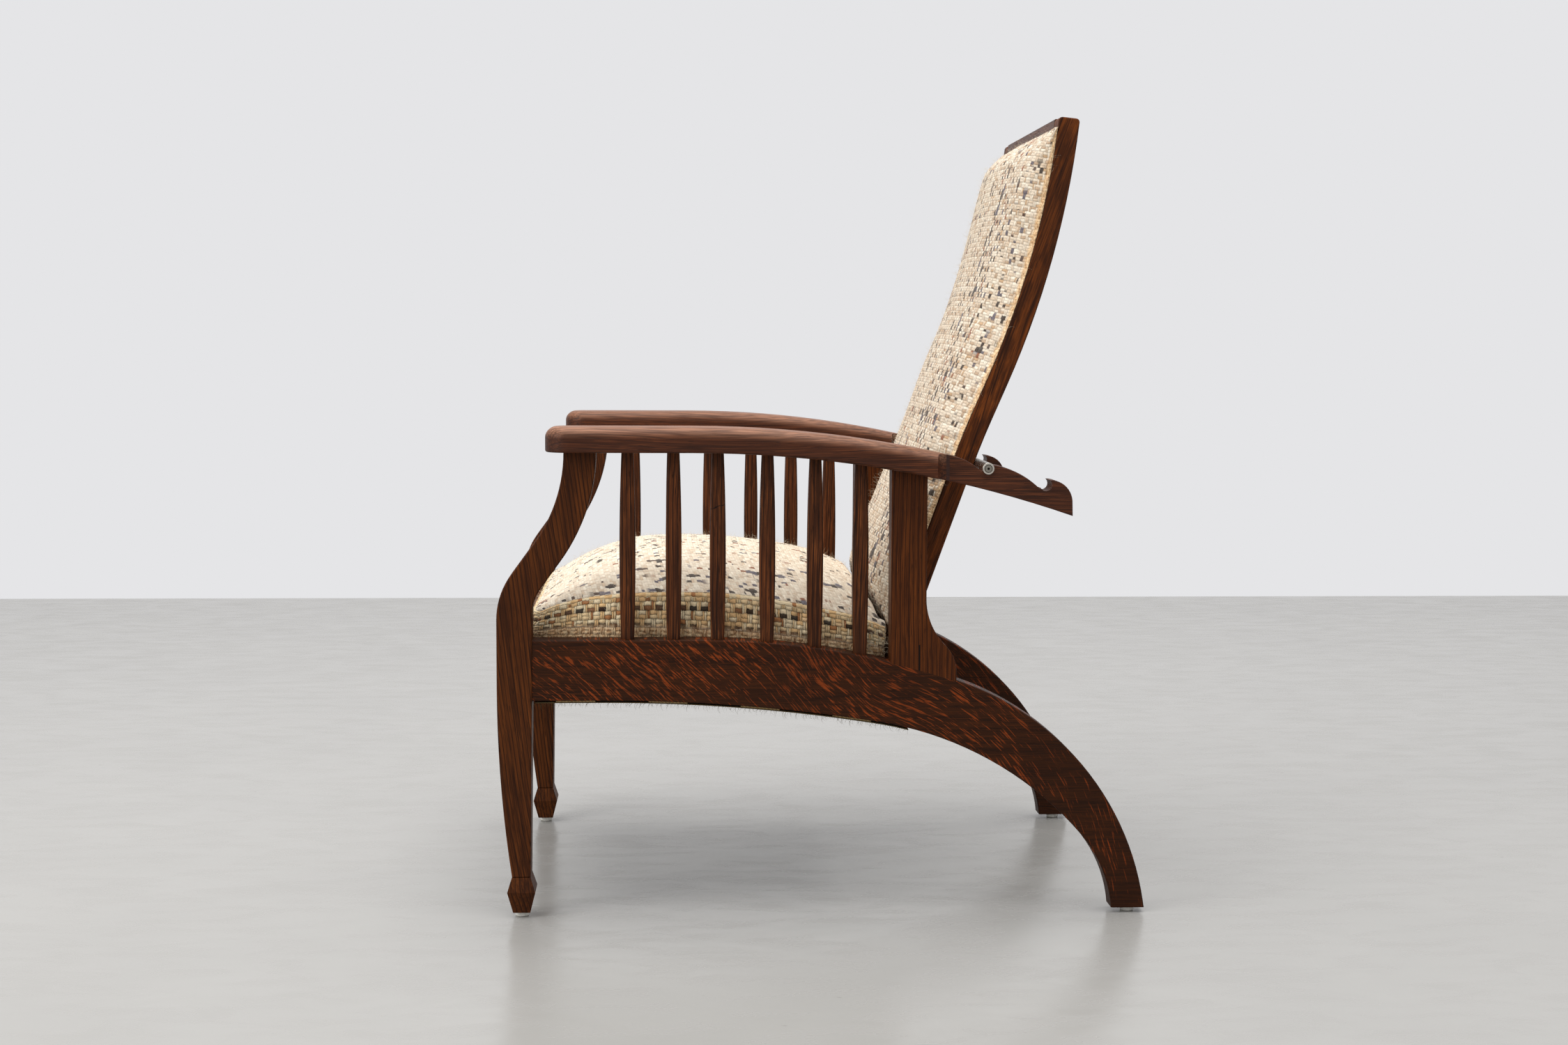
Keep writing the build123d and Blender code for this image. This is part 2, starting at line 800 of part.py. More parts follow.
def make_stile():
    shape = back_band(0, stile_depth, back_half_width - stile_width, back_half_width)
    tops = shape.edges().filter_by(Axis.X).sort_by(Axis.Z)[-2:]
    return eased(fillet(tops, stile_corner), wood_ease)


def back_top():
    return (stile_trail(stile_depth)[-1] @ 1).Y


def make_back_rails():
    inner = back_half_width - stile_width
    blank = back_band(0, stile_depth, -inner, inner)
    high = back_top()
    top = blank & block((-inner, inner), back_reach, (high - top_rail_height, high + overrun))
    tops = top.edges().filter_by(Axis.X).sort_by(Axis.Z)[-2:]
    top = fillet(tops, wood_ease)
    low = Pos(0, 0, bottom_rail_height / 2) * Box(inner * 2, stile_depth * 4, bottom_rail_height)
    bottom = blank & (back_plane(back_lean) * low)
    return top, bottom


def make_back_straps():
    """Webbing across the front of the back frame."""
    half = back_half_width - strap_end_inset
    band = back_band(stile_depth, stile_depth + strap_thickness, -half, half)
    low = hinge_height + bottom_rail_height + strap_width
    high = back_top() - top_rail_height - strap_width
    return [
        band & block((-half, half), back_reach, (z - strap_width / 2, z + strap_width / 2))
        for z in strap_places(low, high, back_strap_count)
    ]


def make_lining():
    """The cloth that closes the back of the back, between its rails."""
    half = back_half_width - stile_width - cloth_gap
    band = back_band(lining_inset, lining_inset + cloth_thickness, -half, half)
    low = Pos(0, 0, bottom_rail_height + cloth_gap) * Box(
        half * 2, stile_depth * 4, arm_bottom * 2, align=(Align.CENTER, Align.CENTER, Align.MIN)
    )
    high = back_top() - top_rail_height - cloth_gap
    return band & (back_plane(back_lean) * low) & block((-half, half), back_reach, (0, high))


def make_pad():
    """The back's padding: crowned, and rounded off at its head and foot."""
    path = Wire(stile_trail(stile_depth + strap_thickness + pad_gap))
    half = back_half_width - pad_side_inset
    sections = []
    for i in range(pad_spans + 1):
        share = (1 - math.cos(math.pi * i / pad_spans)) / 2
        full = max(pad_end_share, math.sqrt(1 - (2 * share - 1) ** pad_roundness))
        travel = pad_foot_margin + (path.length - pad_top_margin - pad_foot_margin) * share
        place, course = path.position_at(travel / path.length), path.tangent_at(travel / path.length)
        plane = Plane(origin=(0, place.X, place.Y), x_dir=(1, 0, 0), z_dir=(0, course.X, course.Y))
        edge, crown = -pad_edge * full, -pad_crown * full
        edges = [
            Line((-half, 0), (half, 0)),
            Line((half, 0), (half, edge)),
            ThreePointArc((half, edge), (0, crown), (-half, edge)),
            Line((-half, edge), (-half, 0)),
        ]
        sections.append(plane * make_face(edges))
    return loft(sections, ruled=True)


# Hinges

def make_hinge(across):
    """One hinge: its leaf on the seat rail, its leaf under the back, its pin and both sets of screws."""
    step = hinge_length / knuckle_count
    width = step - knuckle_play
    y, z = at(hinge_behind, hinge_height)
    spots = [across + (i - (knuckle_count - 1) / 2) * step for i in range(knuckle_count)]

    def barrel(spot, radius, length):
        return peg(radius, (spot - length / 2, y, z), (spot + length / 2, y, z))

    leaf = Pos(across, -leaf_width / 2, 0) * Box(hinge_length, leaf_width, leaf_thickness)
    lift = leaf_play + leaf_thickness / 2
    lower = back_plane(0) * (Pos(0, 0, -lift) * leaf)
    upper = back_plane(back_lean) * (Pos(0, 0, lift) * leaf)
    for i, spot in enumerate(spots):
        space = barrel(spot, knuckle_radius + knuckle_play, step + knuckle_play)
        if i % 2 == 0:
            upper -= space
        else:
            lower -= space
    for i, spot in enumerate(spots):
        knuckle = barrel(spot, knuckle_radius, width)
        if i % 2 == 0:
            lower += knuckle
        else:
            upper += knuckle
    bore = barrel(across, pin_radius + pin_clearance, hinge_length * 2)
    pin = barrel(across, pin_radius, hinge_length)
    lower, upper = lower - bore, upper - bore
    place = -leaf_width * leaf_screw_share
    post = screw(
        hinge_screw_radius, hinge_screw_head_radius, hinge_screw_head_height, hinge_screw_length
    )
    down, up = [], []
    for i in (-1, 0, 1):
        spot = across + i * hinge_screw_spacing
        down.append(back_plane(0) * (Pos(spot, place, -leaf_play) * (Rot(180, 0, 0) * post)))
        up.append(back_plane(back_lean) * (Pos(spot, place, leaf_play) * post))
    for s in down:
        lower -= s
    for s in up:
        upper -= s
    return lower, upper, pin, down, up


# Rod

def make_rod():
    y, z = at(rod_behind, rod_height)
    half = rod_half_length - plug_cap
    tube = peg(rod_radius, (-half, y, z), (half, y, z))
    tube -= peg(rod_radius - rod_wall, (-half, y, z), (half, y, z))
    cap = peg(rod_radius, (half, y, z), (rod_half_length, y, z))
    cap = fillet(cap.edges().sort_by(Axis.X)[-1], plug_groove_width)
    groove = peg(plug_groove_radius, (rod_half_length - plug_groove_depth, y, z), (rod_half_length, y, z))
    groove -= peg(
        plug_groove_radius - plug_groove_width,
        (rod_half_length - plug_groove_depth, y, z),
        (rod_half_length, y, z),
    )
    hole = peg(plug_hole_radius, (half, y, z), (rod_half_length, y, z))
    insert = peg(rod_radius - rod_wall - hole_clearance, (half - plug_insert, y, z), (half, y, z))
    plug = cap + insert - groove - hole
    return tube, [plug, mirrored(plug)]


# Assembly

def bored(shape, lines, radius):
    for start, end in lines:
        shape -= peg(radius + hole_clearance, start, end)
    return shape


def widened(line):
    """A tenon's or dowel's hole, a little deeper than its peg."""
    start, end = Vector(*line[0]), Vector(*line[1])
    step = (end - start).normalized() * hole_clearance
    return tuple(start - step), tuple(end + step)


def make_chair():
    nodes = {}
    arm, leg, rail = make_arm(), make_leg(), make_side_rail()
    post, heel = make_post(rail, arm)
    dowels = dowel_lines()
    tenons = []
    for i, behind in enumerate(spindle_places()):
        nodes[f"spindle_{i + 1}"] = make_spindle(behind, rail, arm)
        y = at(behind, 0)[0]
        low, high = rail_top_at(behind) - tenon_length, arm_bottom_at(behind) + tenon_length
        tenons.append(((side_middle, y, low), (side_middle, y, high)))
    dowel_holes = [widened(line) for line in dowels]
    tenon_holes = [widened(line) for line in tenons]
    nodes["armrest"] = bored(bored(arm, dowel_holes, dowel_radius), tenon_holes, tenon_radius)
    nodes["side_rail"] = bored(bored(rail, dowel_holes, dowel_radius), tenon_holes, tenon_radius)
    nodes["front_leg"] = bored(leg, dowel_holes, dowel_radius)
    nodes["rear_post"] = bored(post, dowel_holes, dowel_radius)
    nodes["post_heel"] = heel
    glides = make_glides()
    for glide in glides:
        nodes["front_leg"] -= glide
        nodes["side_rail"] -= glide
    block_screws = make_block_screws()
    blocks = make_corner_blocks()
    for s in block_screws:
        blocks = [b - s for b in blocks]
        for name in ("front_leg", "rear_post", "side_rail"):
            nodes[name] -= s
    sides = dict(nodes)
    nodes = {}
    for name, shape in sides.items():
        nodes[f"{name}_left"] = shape
        nodes[f"{name}_right"] = mirrored(shape)

    front_rail, rear_rail = make_seat_rails()
    right_holes = [((-a[0], *a[1:]), (-b[0], *b[1:])) for a, b in dowel_holes]
    front_rail = bored(front_rail, dowel_holes + right_holes, dowel_radius)
    rear_rail = bored(rear_rail, dowel_holes + right_holes, dowel_radius)

    stile = make_stile()
    top_rail, bottom_rail = make_back_rails()
    lowers, uppers, pins, downs, ups = [], [], [], [], []
    for across in (-hinge_across, hinge_across):
        lower, upper, pin, down, up = make_hinge(across)
        lowers.append(lower)
        uppers.append(upper)
        pins.append(pin)
        downs += down
        ups += up
    for s in downs:
        rear_rail -= s
    for s in block_screws:
        front_rail = front_rail - s - mirrored(s)
        rear_rail = rear_rail - s - mirrored(s)
    for s in ups:
        bottom_rail -= s

    tube, plugs = make_rod()
    along, across = make_webbing()
    nodes["glides"] = glides
    nodes["frame_dowels"] = [
        d for line in dowels for d in (peg(dowel_radius, *line), mirrored(peg(dowel_radius, *line)))
    ]
    nodes["front_seat_rail"] = front_rail
    nodes["rear_seat_rail"] = rear_rail
    nodes["corner_blocks"] = [b for part in blocks for b in (part, mirrored(part))]
    nodes["corner_block_screws"] = [s for part in block_screws for s in (part, mirrored(part))]
    nodes["seat_webbing_along"] = along
    nodes["seat_webbing_across"] = across
    nodes["seat_springs"] = make_springs()
    nodes["spring_hessian"] = make_spring_cloth()
    nodes["seat_cushion"] = make_cushion()
    nodes["seat_dust_cloth"] = make_dust_cloth()
    nodes["hinge_seat_leaves"] = lowers
    nodes["hinge_pins"] = pins
    nodes["hinge_seat_screws"] = downs
    nodes["back_stile_left"] = stile
    nodes["back_stile_right"] = mirrored(stile)
    nodes["back_top_rail"] = top_rail
    nodes["back_bottom_rail"] = bottom_rail
    nodes["back_webbing"] = make_back_straps()
    nodes["back_pad"] = make_pad()
    nodes["back_lining"] = make_lining()
    nodes["hinge_back_leaves"] = uppers
    nodes["hinge_back_screws"] = ups
    nodes["support_rod"] = tube
    nodes["rod_end_plugs"] = plugs
    return nodes


def write(nodes):
    os.makedirs("parts", exist_ok=True)
    for name, shape in nodes.items():
        solids = shape if isinstance(shape, list) else [shape]
        solids = [s for item in solids for s in item.solids()]
        whole = solids[0] if len(solids) == 1 else Compound(children=solids)
        export_step(whole, f"parts/{name}.step")


write(make_chair())
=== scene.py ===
import math

import bpy
import numpy as np
from mathutils import Matrix, Vector


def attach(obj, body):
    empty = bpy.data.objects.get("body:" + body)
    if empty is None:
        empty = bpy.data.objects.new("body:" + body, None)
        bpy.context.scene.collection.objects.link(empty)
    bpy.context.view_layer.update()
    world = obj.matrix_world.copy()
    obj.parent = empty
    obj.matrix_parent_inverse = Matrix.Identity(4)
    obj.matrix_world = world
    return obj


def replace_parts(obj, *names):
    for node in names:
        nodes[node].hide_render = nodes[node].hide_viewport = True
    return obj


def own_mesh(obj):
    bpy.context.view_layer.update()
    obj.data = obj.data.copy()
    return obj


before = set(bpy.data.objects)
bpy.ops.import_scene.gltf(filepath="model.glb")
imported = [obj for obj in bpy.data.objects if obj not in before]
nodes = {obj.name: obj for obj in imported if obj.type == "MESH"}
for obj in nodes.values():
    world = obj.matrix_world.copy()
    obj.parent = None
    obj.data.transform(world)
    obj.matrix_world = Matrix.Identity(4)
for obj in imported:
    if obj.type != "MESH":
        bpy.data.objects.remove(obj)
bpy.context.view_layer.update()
scene = bpy.context.scene
print("frame loaded,", len(nodes), "nodes")

# Lengths are metres. "behind" is measured from the chair's front, across is X, and up is Z.
chair = {
    "depth": 0.8397,
    "hinge": (0.537, 0.3475),  # behind, up
    "lean": math.radians(19.8),
    "railUnder": 0.283,
    "railUnderFlat": 0.130,
    "railUnderRadius": 2.237,
    "railUnderTurn": math.radians(9.2),
    "ankleRadius": 0.447,
}


def at(behind):
    return behind - chair["depth"] / 2


def underside(behind):
    # height of the side rail's underside
    run = max(0.0, behind - chair["railUnderFlat"])
    radius, turn = chair["railUnderRadius"], chair["railUnderTurn"]
    reach = radius * math.sin(turn)
    if run <= reach:
        return chair["railUnder"] - radius + math.sqrt(radius**2 - run**2)
    low = chair["railUnder"] - radius * (1 - math.cos(turn))
    radius = chair["ankleRadius"]
    steeper = math.asin(math.sin(turn) + (run - reach) / radius)
    return low - radius * (math.cos(turn) - math.cos(steeper))


def paint(red, green, blue):
    # a screen colour, 0 to 255, as a shader colour
    def straight(value):
        value /= 255
        return value / 12.92 if value <= 0.04045 else ((value + 0.055) / 1.055) ** 2.4

    return (straight(red), straight(green), straight(blue), 1.0)


def tones(*stops):
    # a ramp's stops from places and screen colours
    return [(place, paint(*colour)) for place, *colour in stops]


def newObject(name, data):
    made = bpy.data.objects.new(name, data)
    scene.collection.objects.link(made)
    return made


class Signal:
    # wraps an output socket, so that sums and products add their Math nodes
    def __init__(self, shader, socket):
        self.shader = shader
        self.socket = socket

    def math(self, operation, first, second=None):
        sockets = {0: first} if second is None else {0: first, 1: second}
        return self.shader.add("ShaderNodeMath", {"operation": operation}, sockets)

    def __add__(self, other):
        return self.math("ADD", self, other)

    def __radd__(self, other):
        return self.math("ADD", other, self)

    def __sub__(self, other):
        return self.math("SUBTRACT", self, other)

    def __rsub__(self, other):
        return self.math("SUBTRACT", other, self)

    def __mul__(self, other):
        return self.math("MULTIPLY", self, other)

    def __rmul__(self, other):
        return self.math("MULTIPLY", other, self)

    def __truediv__(self, other):
        return self.math("DIVIDE", self, other)

    def __gt__(self, other):
        return self.math("GREATER_THAN", self, other)

    def __lt__(self, other):
        return self.math("LESS_THAN", self, other)

    def larger(self, other):
        return self.math("MAXIMUM", self, other)

    def of(self, operation):
        return self.math(operation, self)

    def limited(self, times):
        # times a number, and kept from 0 to 1
        settings = {"operation": "MULTIPLY", "use_clamp": True}
        return self.shader.add("ShaderNodeMath", settings, {0: self, 1: times})

    def between(self, low, high, start=0.0, end=1.0):
        # start at low, end at high, smooth in between
        smooth = {"interpolation_type": "SMOOTHSTEP"}
        sockets = {0: self, 1: low, 2: high, 3: start, 4: end}
        return self.shader.add("ShaderNodeMapRange", smooth, sockets)


class NodeTree:
    # a tree of shader or geometry nodes, added one by one
    def __init__(self, tree):
        self.tree = tree

    def add(self, kind, settings=None, sockets=None, output=0):
        node = self.tree.nodes.new(kind)
        for key, value in (settings or {}).items():
            if key == "stops":
                self.fillRamp(node.color_ramp, value)
            elif key == "steps":
                node.color_ramp.interpolation = "CONSTANT"
            else:
                setattr(node, key, value)
        for key, value in (sockets or {}).items():
            if isinstance(value, Signal):
                self.tree.links.new(value.socket, node.inputs[key])
            else:
                node.inputs[key].default_value = value
        return node if output is None else Signal(self, node.outputs[output])

    def fillRamp(self, ramp, stops):
        while len(ramp.elements) < len(stops):
            ramp.elements.new(0.5)
        for element, (position, colour) in zip(ramp.elements, stops):
            element.position = position
            element.color = colour

    def other(self, signal, output):
        # another output of the node that a signal comes from
        return Signal(self, signal.socket.node.outputs[output])


class Finish(NodeTree):
    # a material whose nodes are added one by one
    def __init__(self, name):
        self.material = bpy.data.materials.new(name)
        self.material.use_nodes = True
        super().__init__(self.material.node_tree)
        self.tree.nodes.clear()

    def place(self):
        return self.add("ShaderNodeTexCoord", output="Object")

    def split(self, vector):
        first = self.add("ShaderNodeSeparateXYZ", {}, {0: vector})
        return [self.other(first, i) for i in range(3)]

    def join(self, x=0.0, y=0.0, z=0.0):
        return self.add("ShaderNodeCombineXYZ", {}, {0: x, 1: y, 2: z})

    def noise(self, vector, scale=1.0, detail=2.0, roughness=0.5, distortion=0.0):
        sockets = {"Vector": vector, "Scale": scale, "Detail": detail}
        sockets.update({"Roughness": roughness, "Distortion": distortion})
        return self.add("ShaderNodeTexNoise", {}, sockets)

    def drawn(self, x, y, z, detail=2.0, roughness=0.5, distortion=0.0):
        # noise at a place whose parts are stretched one by one
        return self.noise(self.join(x, y, z), 1, detail, roughness, distortion)

    def chance(self, x, y, z):
        sockets = {"Vector": self.join(x, y, z)}
        return self.add("ShaderNodeTexWhiteNoise", {"noise_dimensions": "3D"}, sockets)

    def mix(self, share, first, second, way="MIX"):
        settings = {"data_type": "RGBA", "blend_type": way, "clamp_factor": True}
        return self.add("ShaderNodeMix", settings, {0: share, 6: first, 7: second}, output=2)

    def layered(self, colour, *layers):
        # colours laid over it one by one, each by its share
        for share, over in layers:
            colour = self.mix(share, colour, over)
        return colour

    def darkened(self, colour, shade):
        return self.mix(1.0, colour, self.join(shade, shade, shade), "MULTIPLY")

    def ramp(self, share, stops, steps=False):
        settings = {"stops": stops, "steps": True} if steps else {"stops": stops}
        return self.add("ShaderNodeValToRGB", settings, {"Fac": share})

    def bump(self, height, distance, strength=1.0, normal=None):
        sockets = {"Strength": strength, "Distance": distance, "Height": height}
        if normal is not None:
            sockets["Normal"] = normal
        return self.add("ShaderNodeBump", {}, sockets)

    def done(self, **sockets):
        names = {name.replace("_", " "): value for name, value in sockets.items()}
        surface = {"Surface": self.add("ShaderNodeBsdfPrincipled", {}, names)}
        self.add("ShaderNodeOutputMaterial", {}, surface, None)
        return self.material


# Wood, each kind with its own grain direction and stain
upright = (0, 0, 0)
lengthwise = (math.pi / 2, 0, 0)
crosswise = (0, -math.pi / 2, 0)
leaning = (chair["lean"], 0, 0)
commonOak = {
    "turn": upright,
    "rays": 0.0,
    "lines": 1.0,
    "mottle": 0.0,
    "gloss": 0.42,
    "shine": 0.10,
}


def oakLook(dark, middle, light, pore, **changes):
    # a kind of wood from its tones and what differs from the common look
    named = {"dark": dark, "middle": middle, "light": light, "pore": pore}
    return {**commonOak, **{name: paint(*tone) for name, tone in named.items()}, **changes}


oakLooks = {
    "legOak": oakLook((54, 26, 10), (84, 43, 15), (118, 64, 25), (20, 9, 4), turn=(-0.13, 0, 0)),
    "postOak": oakLook(
        (58, 27, 10), (84, 42, 14), (114, 60, 22), (28, 12, 5),
        joint={  # where the flare is glued on
            "behind": 0.5415, "below": 0.354, "half": 0.0009, "colour": paint(14, 8, 5),
        },
    ),
    "spindleOak": oakLook((46, 23, 11), (86, 45, 21), (134, 76, 38), (20, 10, 6), shine=0.12),
    "crackedOak": oakLook(
        (46, 23, 11), (86, 45, 21), (134, 76, 38), (20, 10, 6), shine=0.12,
        crack={
            "up": 0.5315, "behind": 0.281, "slope": -0.33, "half": 0.0006, "jagged": 0.006,
            "colour": paint(16, 9, 6),
        },
    ),
    "railOak": oakLook(
        (40, 20, 9), (54, 27, 11), (74, 37, 14), (32, 15, 8),
        turn=lengthwise, rays=0.95, lines=0.15,
    ),
    "armOak": oakLook(
        (50, 24, 12), (76, 39, 21), (112, 62, 36), (30, 14, 9),
        turn=lengthwise, lines=0.6, gloss=0.40, shine=0.18,
        worn={  # the arms' tops painted pale, partly as wear and partly as a painted highlight, falling away in an arc behind their flat front; the end grain beside the bracket darker, partly as painted shade
            "colour": paint(176, 126, 98), "shadedEndGrain": paint(58, 38, 33),
            "flat": 0.250, "radius": 1.532, "from": 0.618, "to": 0.6345,
            "end": 0.572, "bracket": (0.286, 0.0195), "share": 0.85, "endShare": 0.8,
        },
    ),
    "backOak": oakLook(
        (46, 23, 12), (106, 54, 20), (136, 72, 28), (36, 16, 8),
        turn=leaning, lines=0.35, mottle=0.6,
    ),
    "crossOak": oakLook(
        (54, 29, 17), (84, 47, 28), (114, 70, 46), (32, 16, 11),
        turn=crosswise, lines=0.5, shine=0.28,
    ),
    "blockWood": oakLook(
        (120, 92, 62), (158, 126, 88), (184, 154, 112), (84, 62, 42),
        turn=crosswise, lines=0.3, gloss=0.6, shine=0.2,
    ),
}
oakBuild = {  # shares of the tones over each other, and how the grain lies
    "light": 0.65,
    "rings": 0.7,
    "pores": 0.6,
    "patches": 0.4,
    "bend": (9, 9, 2.4),
    "bendReach": 0.02,
    "ringsAMetre": 175,
    "ringTilt": 0.4,
    "ringWander": 9,
    "relief": 0.0002,
}
oakGrain = {  # how fine it is across, in depth and along, then the noise's detail and roughness
    "streaks": (150, 150, 4, 3, 0.62),
    "fibres": (520, 520, 18, 2, 0.5),
    "pores": (900, 900, 50, 1, 0.5),
    "wander": (26, 26, 2, 1, 0.5),
    "clouds": (30, 60, 17, 3, 0.6),
}
rays = {  # the flecks run round one centre in front, and round another towards the rear foot
    "centres": [(-1.269, -0.834), (-0.042, -0.034)],
    "meet": (0.06, 0.28),
    "blend": (-0.02, 0.15),
    "fewer": (0.22, 0.38),
    "wander": 0.016,
    "blendWander": 0.1,
    "wide": 30,  # how fine they are across the board, along them, and from one to the next
    "along": 40,
    "broadAlong": 0.65,
    "fine": 540,
    "broad": 300,
    "plenty": 0.16,
    "rearLess": 0.05,
    "fineLimits": (0.64, 0.73),
    "broadLimits": (0.69, 0.77),
    "colour": paint(142, 63, 23),
}


def rayFlecks(finish, place, strength):
    x, y, z = finish.split(place)
    wander = finish.noise(place, 9, 2) - 0.5
    share = (y + wander * rays["blendWander"]).between(*rays["blend"])
    fields = []
    for centreY, centreZ in rays["centres"]:
        meetY, meetZ = rays["meet"][0] - centreY, rays["meet"][1] - centreZ
        meetRadius = math.hypot(meetY, meetZ)
        awayY, awayZ = y - centreY, z - centreZ
        radius = (awayY * awayY + awayZ * awayZ).of("SQRT") - meetRadius
        angle = awayZ.math("ARCTAN2", awayZ, awayY)
        fields.append((radius, (angle - math.atan2(meetZ, meetY)) * meetRadius))
    across, along = [first + (second - first) * share for first, second in zip(*fields)]
    across, along = across + wander * rays["wander"], along * rays["along"]
    wide, longer = x * rays["wide"], along * rays["broadAlong"]
    fine = finish.drawn(wide, along, across * rays["fine"], 2, 0.5, 0.3)
    broad = finish.drawn(wide, longer, across * rays["broad"], 2, 0.5, 0.3)
    plenty = finish.noise(place, 9, 1) * rays["plenty"]
    plenty = plenty - y.between(*rays["fewer"]) * rays["rearLess"]
    flecks = (fine + plenty).between(*rays["fineLimits"]) * 0.8
    return flecks.larger((broad + plenty).between(*rays["broadLimits"])) * strength


def wornTop(finish, place, colour, worn, fibres, patches):
    # the plank's top painted pale, partly as wear and partly as a painted highlight, and darker
    # end grain, partly painted shade, where the bracket is narrower
    x, y, z = finish.split(place)
    run = (y - at(worn["flat"])).larger(0.0)
    level = (z + run * run / (2 * worn["radius"])).between(worn["from"], worn["to"])
    level = level * fibres.between(0.3, 0.7, 0.3, 1.0)
    level = level * patches.between(0.3, 0.7, 0.7, 1.0)
    plank = y < at(worn["end"])
    middle, half = worn["bracket"]
    beside = (x.of("ABSOLUTE") - middle).of("ABSOLUTE") > half
    # the pale top is partly wear and partly a painted highlight
    top = (level * plank * worn["share"], worn["colour"])
    # the end grain darkened, partly as painted shade in the cove
    end = ((1 - plank) * beside * worn["endShare"], worn["shadedEndGrain"])
    return finish.layered(colour, top, end)


def makeOak(name, look):
    finish, build = Finish(name), oakBuild
    place = finish.place()
    spare, y, z = finish.split(place)
    grain = finish.add("ShaderNodeMapping", {}, {"Vector": place, "Rotation": look["turn"]})
    bent = finish.add("ShaderNodeMapping", {}, {"Vector": grain, "Scale": build["bend"]})
    bend = (finish.noise(bent, 1, 2) - 0.5) * build["bendReach"]
    across, depth, along = finish.split(grain)
    across, depth = across + bend, depth + bend
    streaks, fibres, pores, wander, clouds = [
        finish.drawn(across * wide, depth * deep, along * long, detail, roughness)
        for wide, deep, long, detail, roughness in oakGrain.values()
    ]
    pores = pores.between(0.60, 0.70)
    clouds = clouds.between(0.47, 0.60)
    rings = (depth + across * build["ringTilt"]) * (2 * math.pi * build["ringsAMetre"])
    rings = (rings + wander * build["ringWander"]).of("SINE").between(0.5, 0.95) * look["lines"]
    patches = finish.noise(place, 7, 2)
    dark, pore = look["dark"], look["pore"]
    layers = [(streaks.between(0.34, 0.62), look["middle"])]
    layers.append((fibres.between(0.42, 0.75) * build["light"], look["light"]))
    if look["rays"]:
        layers.append((rayFlecks(finish, place, look["rays"]), rays["colour"]))
    layers.append((clouds * look["mottle"], dark))
    layers += [(rings * build["rings"], pore), (pores * build["pores"], pore)]
    layers.append((patches.between(0.35, 0.7) * build["patches"], dark))
    colour = finish.layered(dark, *layers)
    if "worn" in look:
        colour = wornTop(finish, place, colour, look["worn"], fibres, patches)
    if "joint" in look:
        joint = look["joint"]
        line = ((y - at(joint["behind"])).of("ABSOLUTE") < joint["half"]) * (z < joint["below"])
        colour = finish.mix(line, colour, joint["colour"])
    if "crack" in look:
        crack = look["crack"]
        jagged = (finish.noise(place, 420, 3) - 0.5) * crack["jagged"]
        line = z + (y - at(crack["behind"])) * crack["slope"] + jagged - crack["up"]
        colour = finish.mix(line.of("ABSOLUTE") < crack["half"], colour, crack["colour"])
    return finish.done(
        Base_Color=colour,
        Roughness=look["gloss"] + fibres * 0.12 + pores * 0.2,
        Normal=finish.bump(fibres * 0.4 - pores - rings * 0.5, build["relief"], 0.6),
        Specular_IOR_Level=look["shine"],
    )


metals = {  # colour, roughness, and 1 for metal
    "nickel": (paint(190, 184, 174), 0.24, 1.0),
    "steel": (paint(118, 114, 110), 0.4, 1.0),
    "springSteel": (paint(92, 90, 90), 0.45, 1.0),
    "brass": (paint(172, 134, 74), 0.34, 1.0),
    "glidePlastic": (paint(226, 224, 216), 0.45, 0.0),
}
plug = {  # the rod's end, with a dark ring round it and a dark middle
    "behind": 0.626,
    "up": 0.582,
    "ring": (0.0044, 0.0052),
    "hole": 0.0016,
    "inner": paint(138, 132, 122),
    "dark": paint(34, 28, 24),
}


def makeMetal(name, colour, gloss, metal):
    finish = Finish(name)
    rubs = finish.noise(finish.place(), 160, 3, 0.6)
    dull = finish.mix(0.35, colour, (0.02, 0.02, 0.02, 1))
    return finish.done(
        Base_Color=finish.mix(rubs.between(0.5, 0.75) * 0.35, colour, dull),
        Roughness=rubs.between(0.3, 0.7, gloss - 0.06, gloss + 0.1),
        Metallic=metal,
    )


def makePlug(name, colour, gloss, metal):
    finish = Finish(name)
    spare, y, z = finish.split(finish.place())
    y, z = y - at(plug["behind"]), z - plug["up"]
    radius = (y * y + z * z).of("SQRT")
    start, end = plug["ring"]
    dark = ((radius > start) * (radius < end)).larger(radius < plug["hole"])
    return finish.done(
        Base_Color=finish.layered(colour, (radius < start, plug["inner"]), (dark, plug["dark"])),
        Roughness=gloss + 0.1,
        Metallic=metal,
    )


nodeFinishes = {  # the starts of the nodes' names, a later line over an earlier one
    "armOak": ("armrest",),
    "railOak": ("side_rail",),
    "legOak": ("front_leg",),
    "postOak": ("rear_post", "post_heel"),
    "spindleOak": ("spindle",),
    "crackedOak": ("spindle_3_left",),
    "crossOak": (
        "front_seat_rail", "rear_seat_rail", "back_top_rail", "back_bottom_rail", "frame_dowels",
    ),
    "blockWood": ("corner_blocks",),
    "backOak": ("back_stile",),
    "nickel": ("support_rod",),
    "plugNickel": ("rod_end_plugs",),
    "steel": ("corner_block_screws", "hinge_pins"),
    "brass": ("hinge_seat_screws", "hinge_back_screws", "hinge_seat_leaves", "hinge_back_leaves"),
    "springSteel": ("seat_springs",),
    "glidePlastic": ("glides",),
}
finishes = {name: makeOak(name, look) for name, look in oakLooks.items()}
finishes.update({name: makeMetal(name, *look) for name, look in metals.items()})
finishes["plugNickel"] = makePlug("plugNickel", *metals["nickel"])
for finishName, starts in nodeFinishes.items():
    for name, node in nodes.items():
        if name.startswith(starts):
            for materialSlot in node.material_slots:
                materialSlot.material = finishes[finishName]
print("finishes made for the wood and metal")


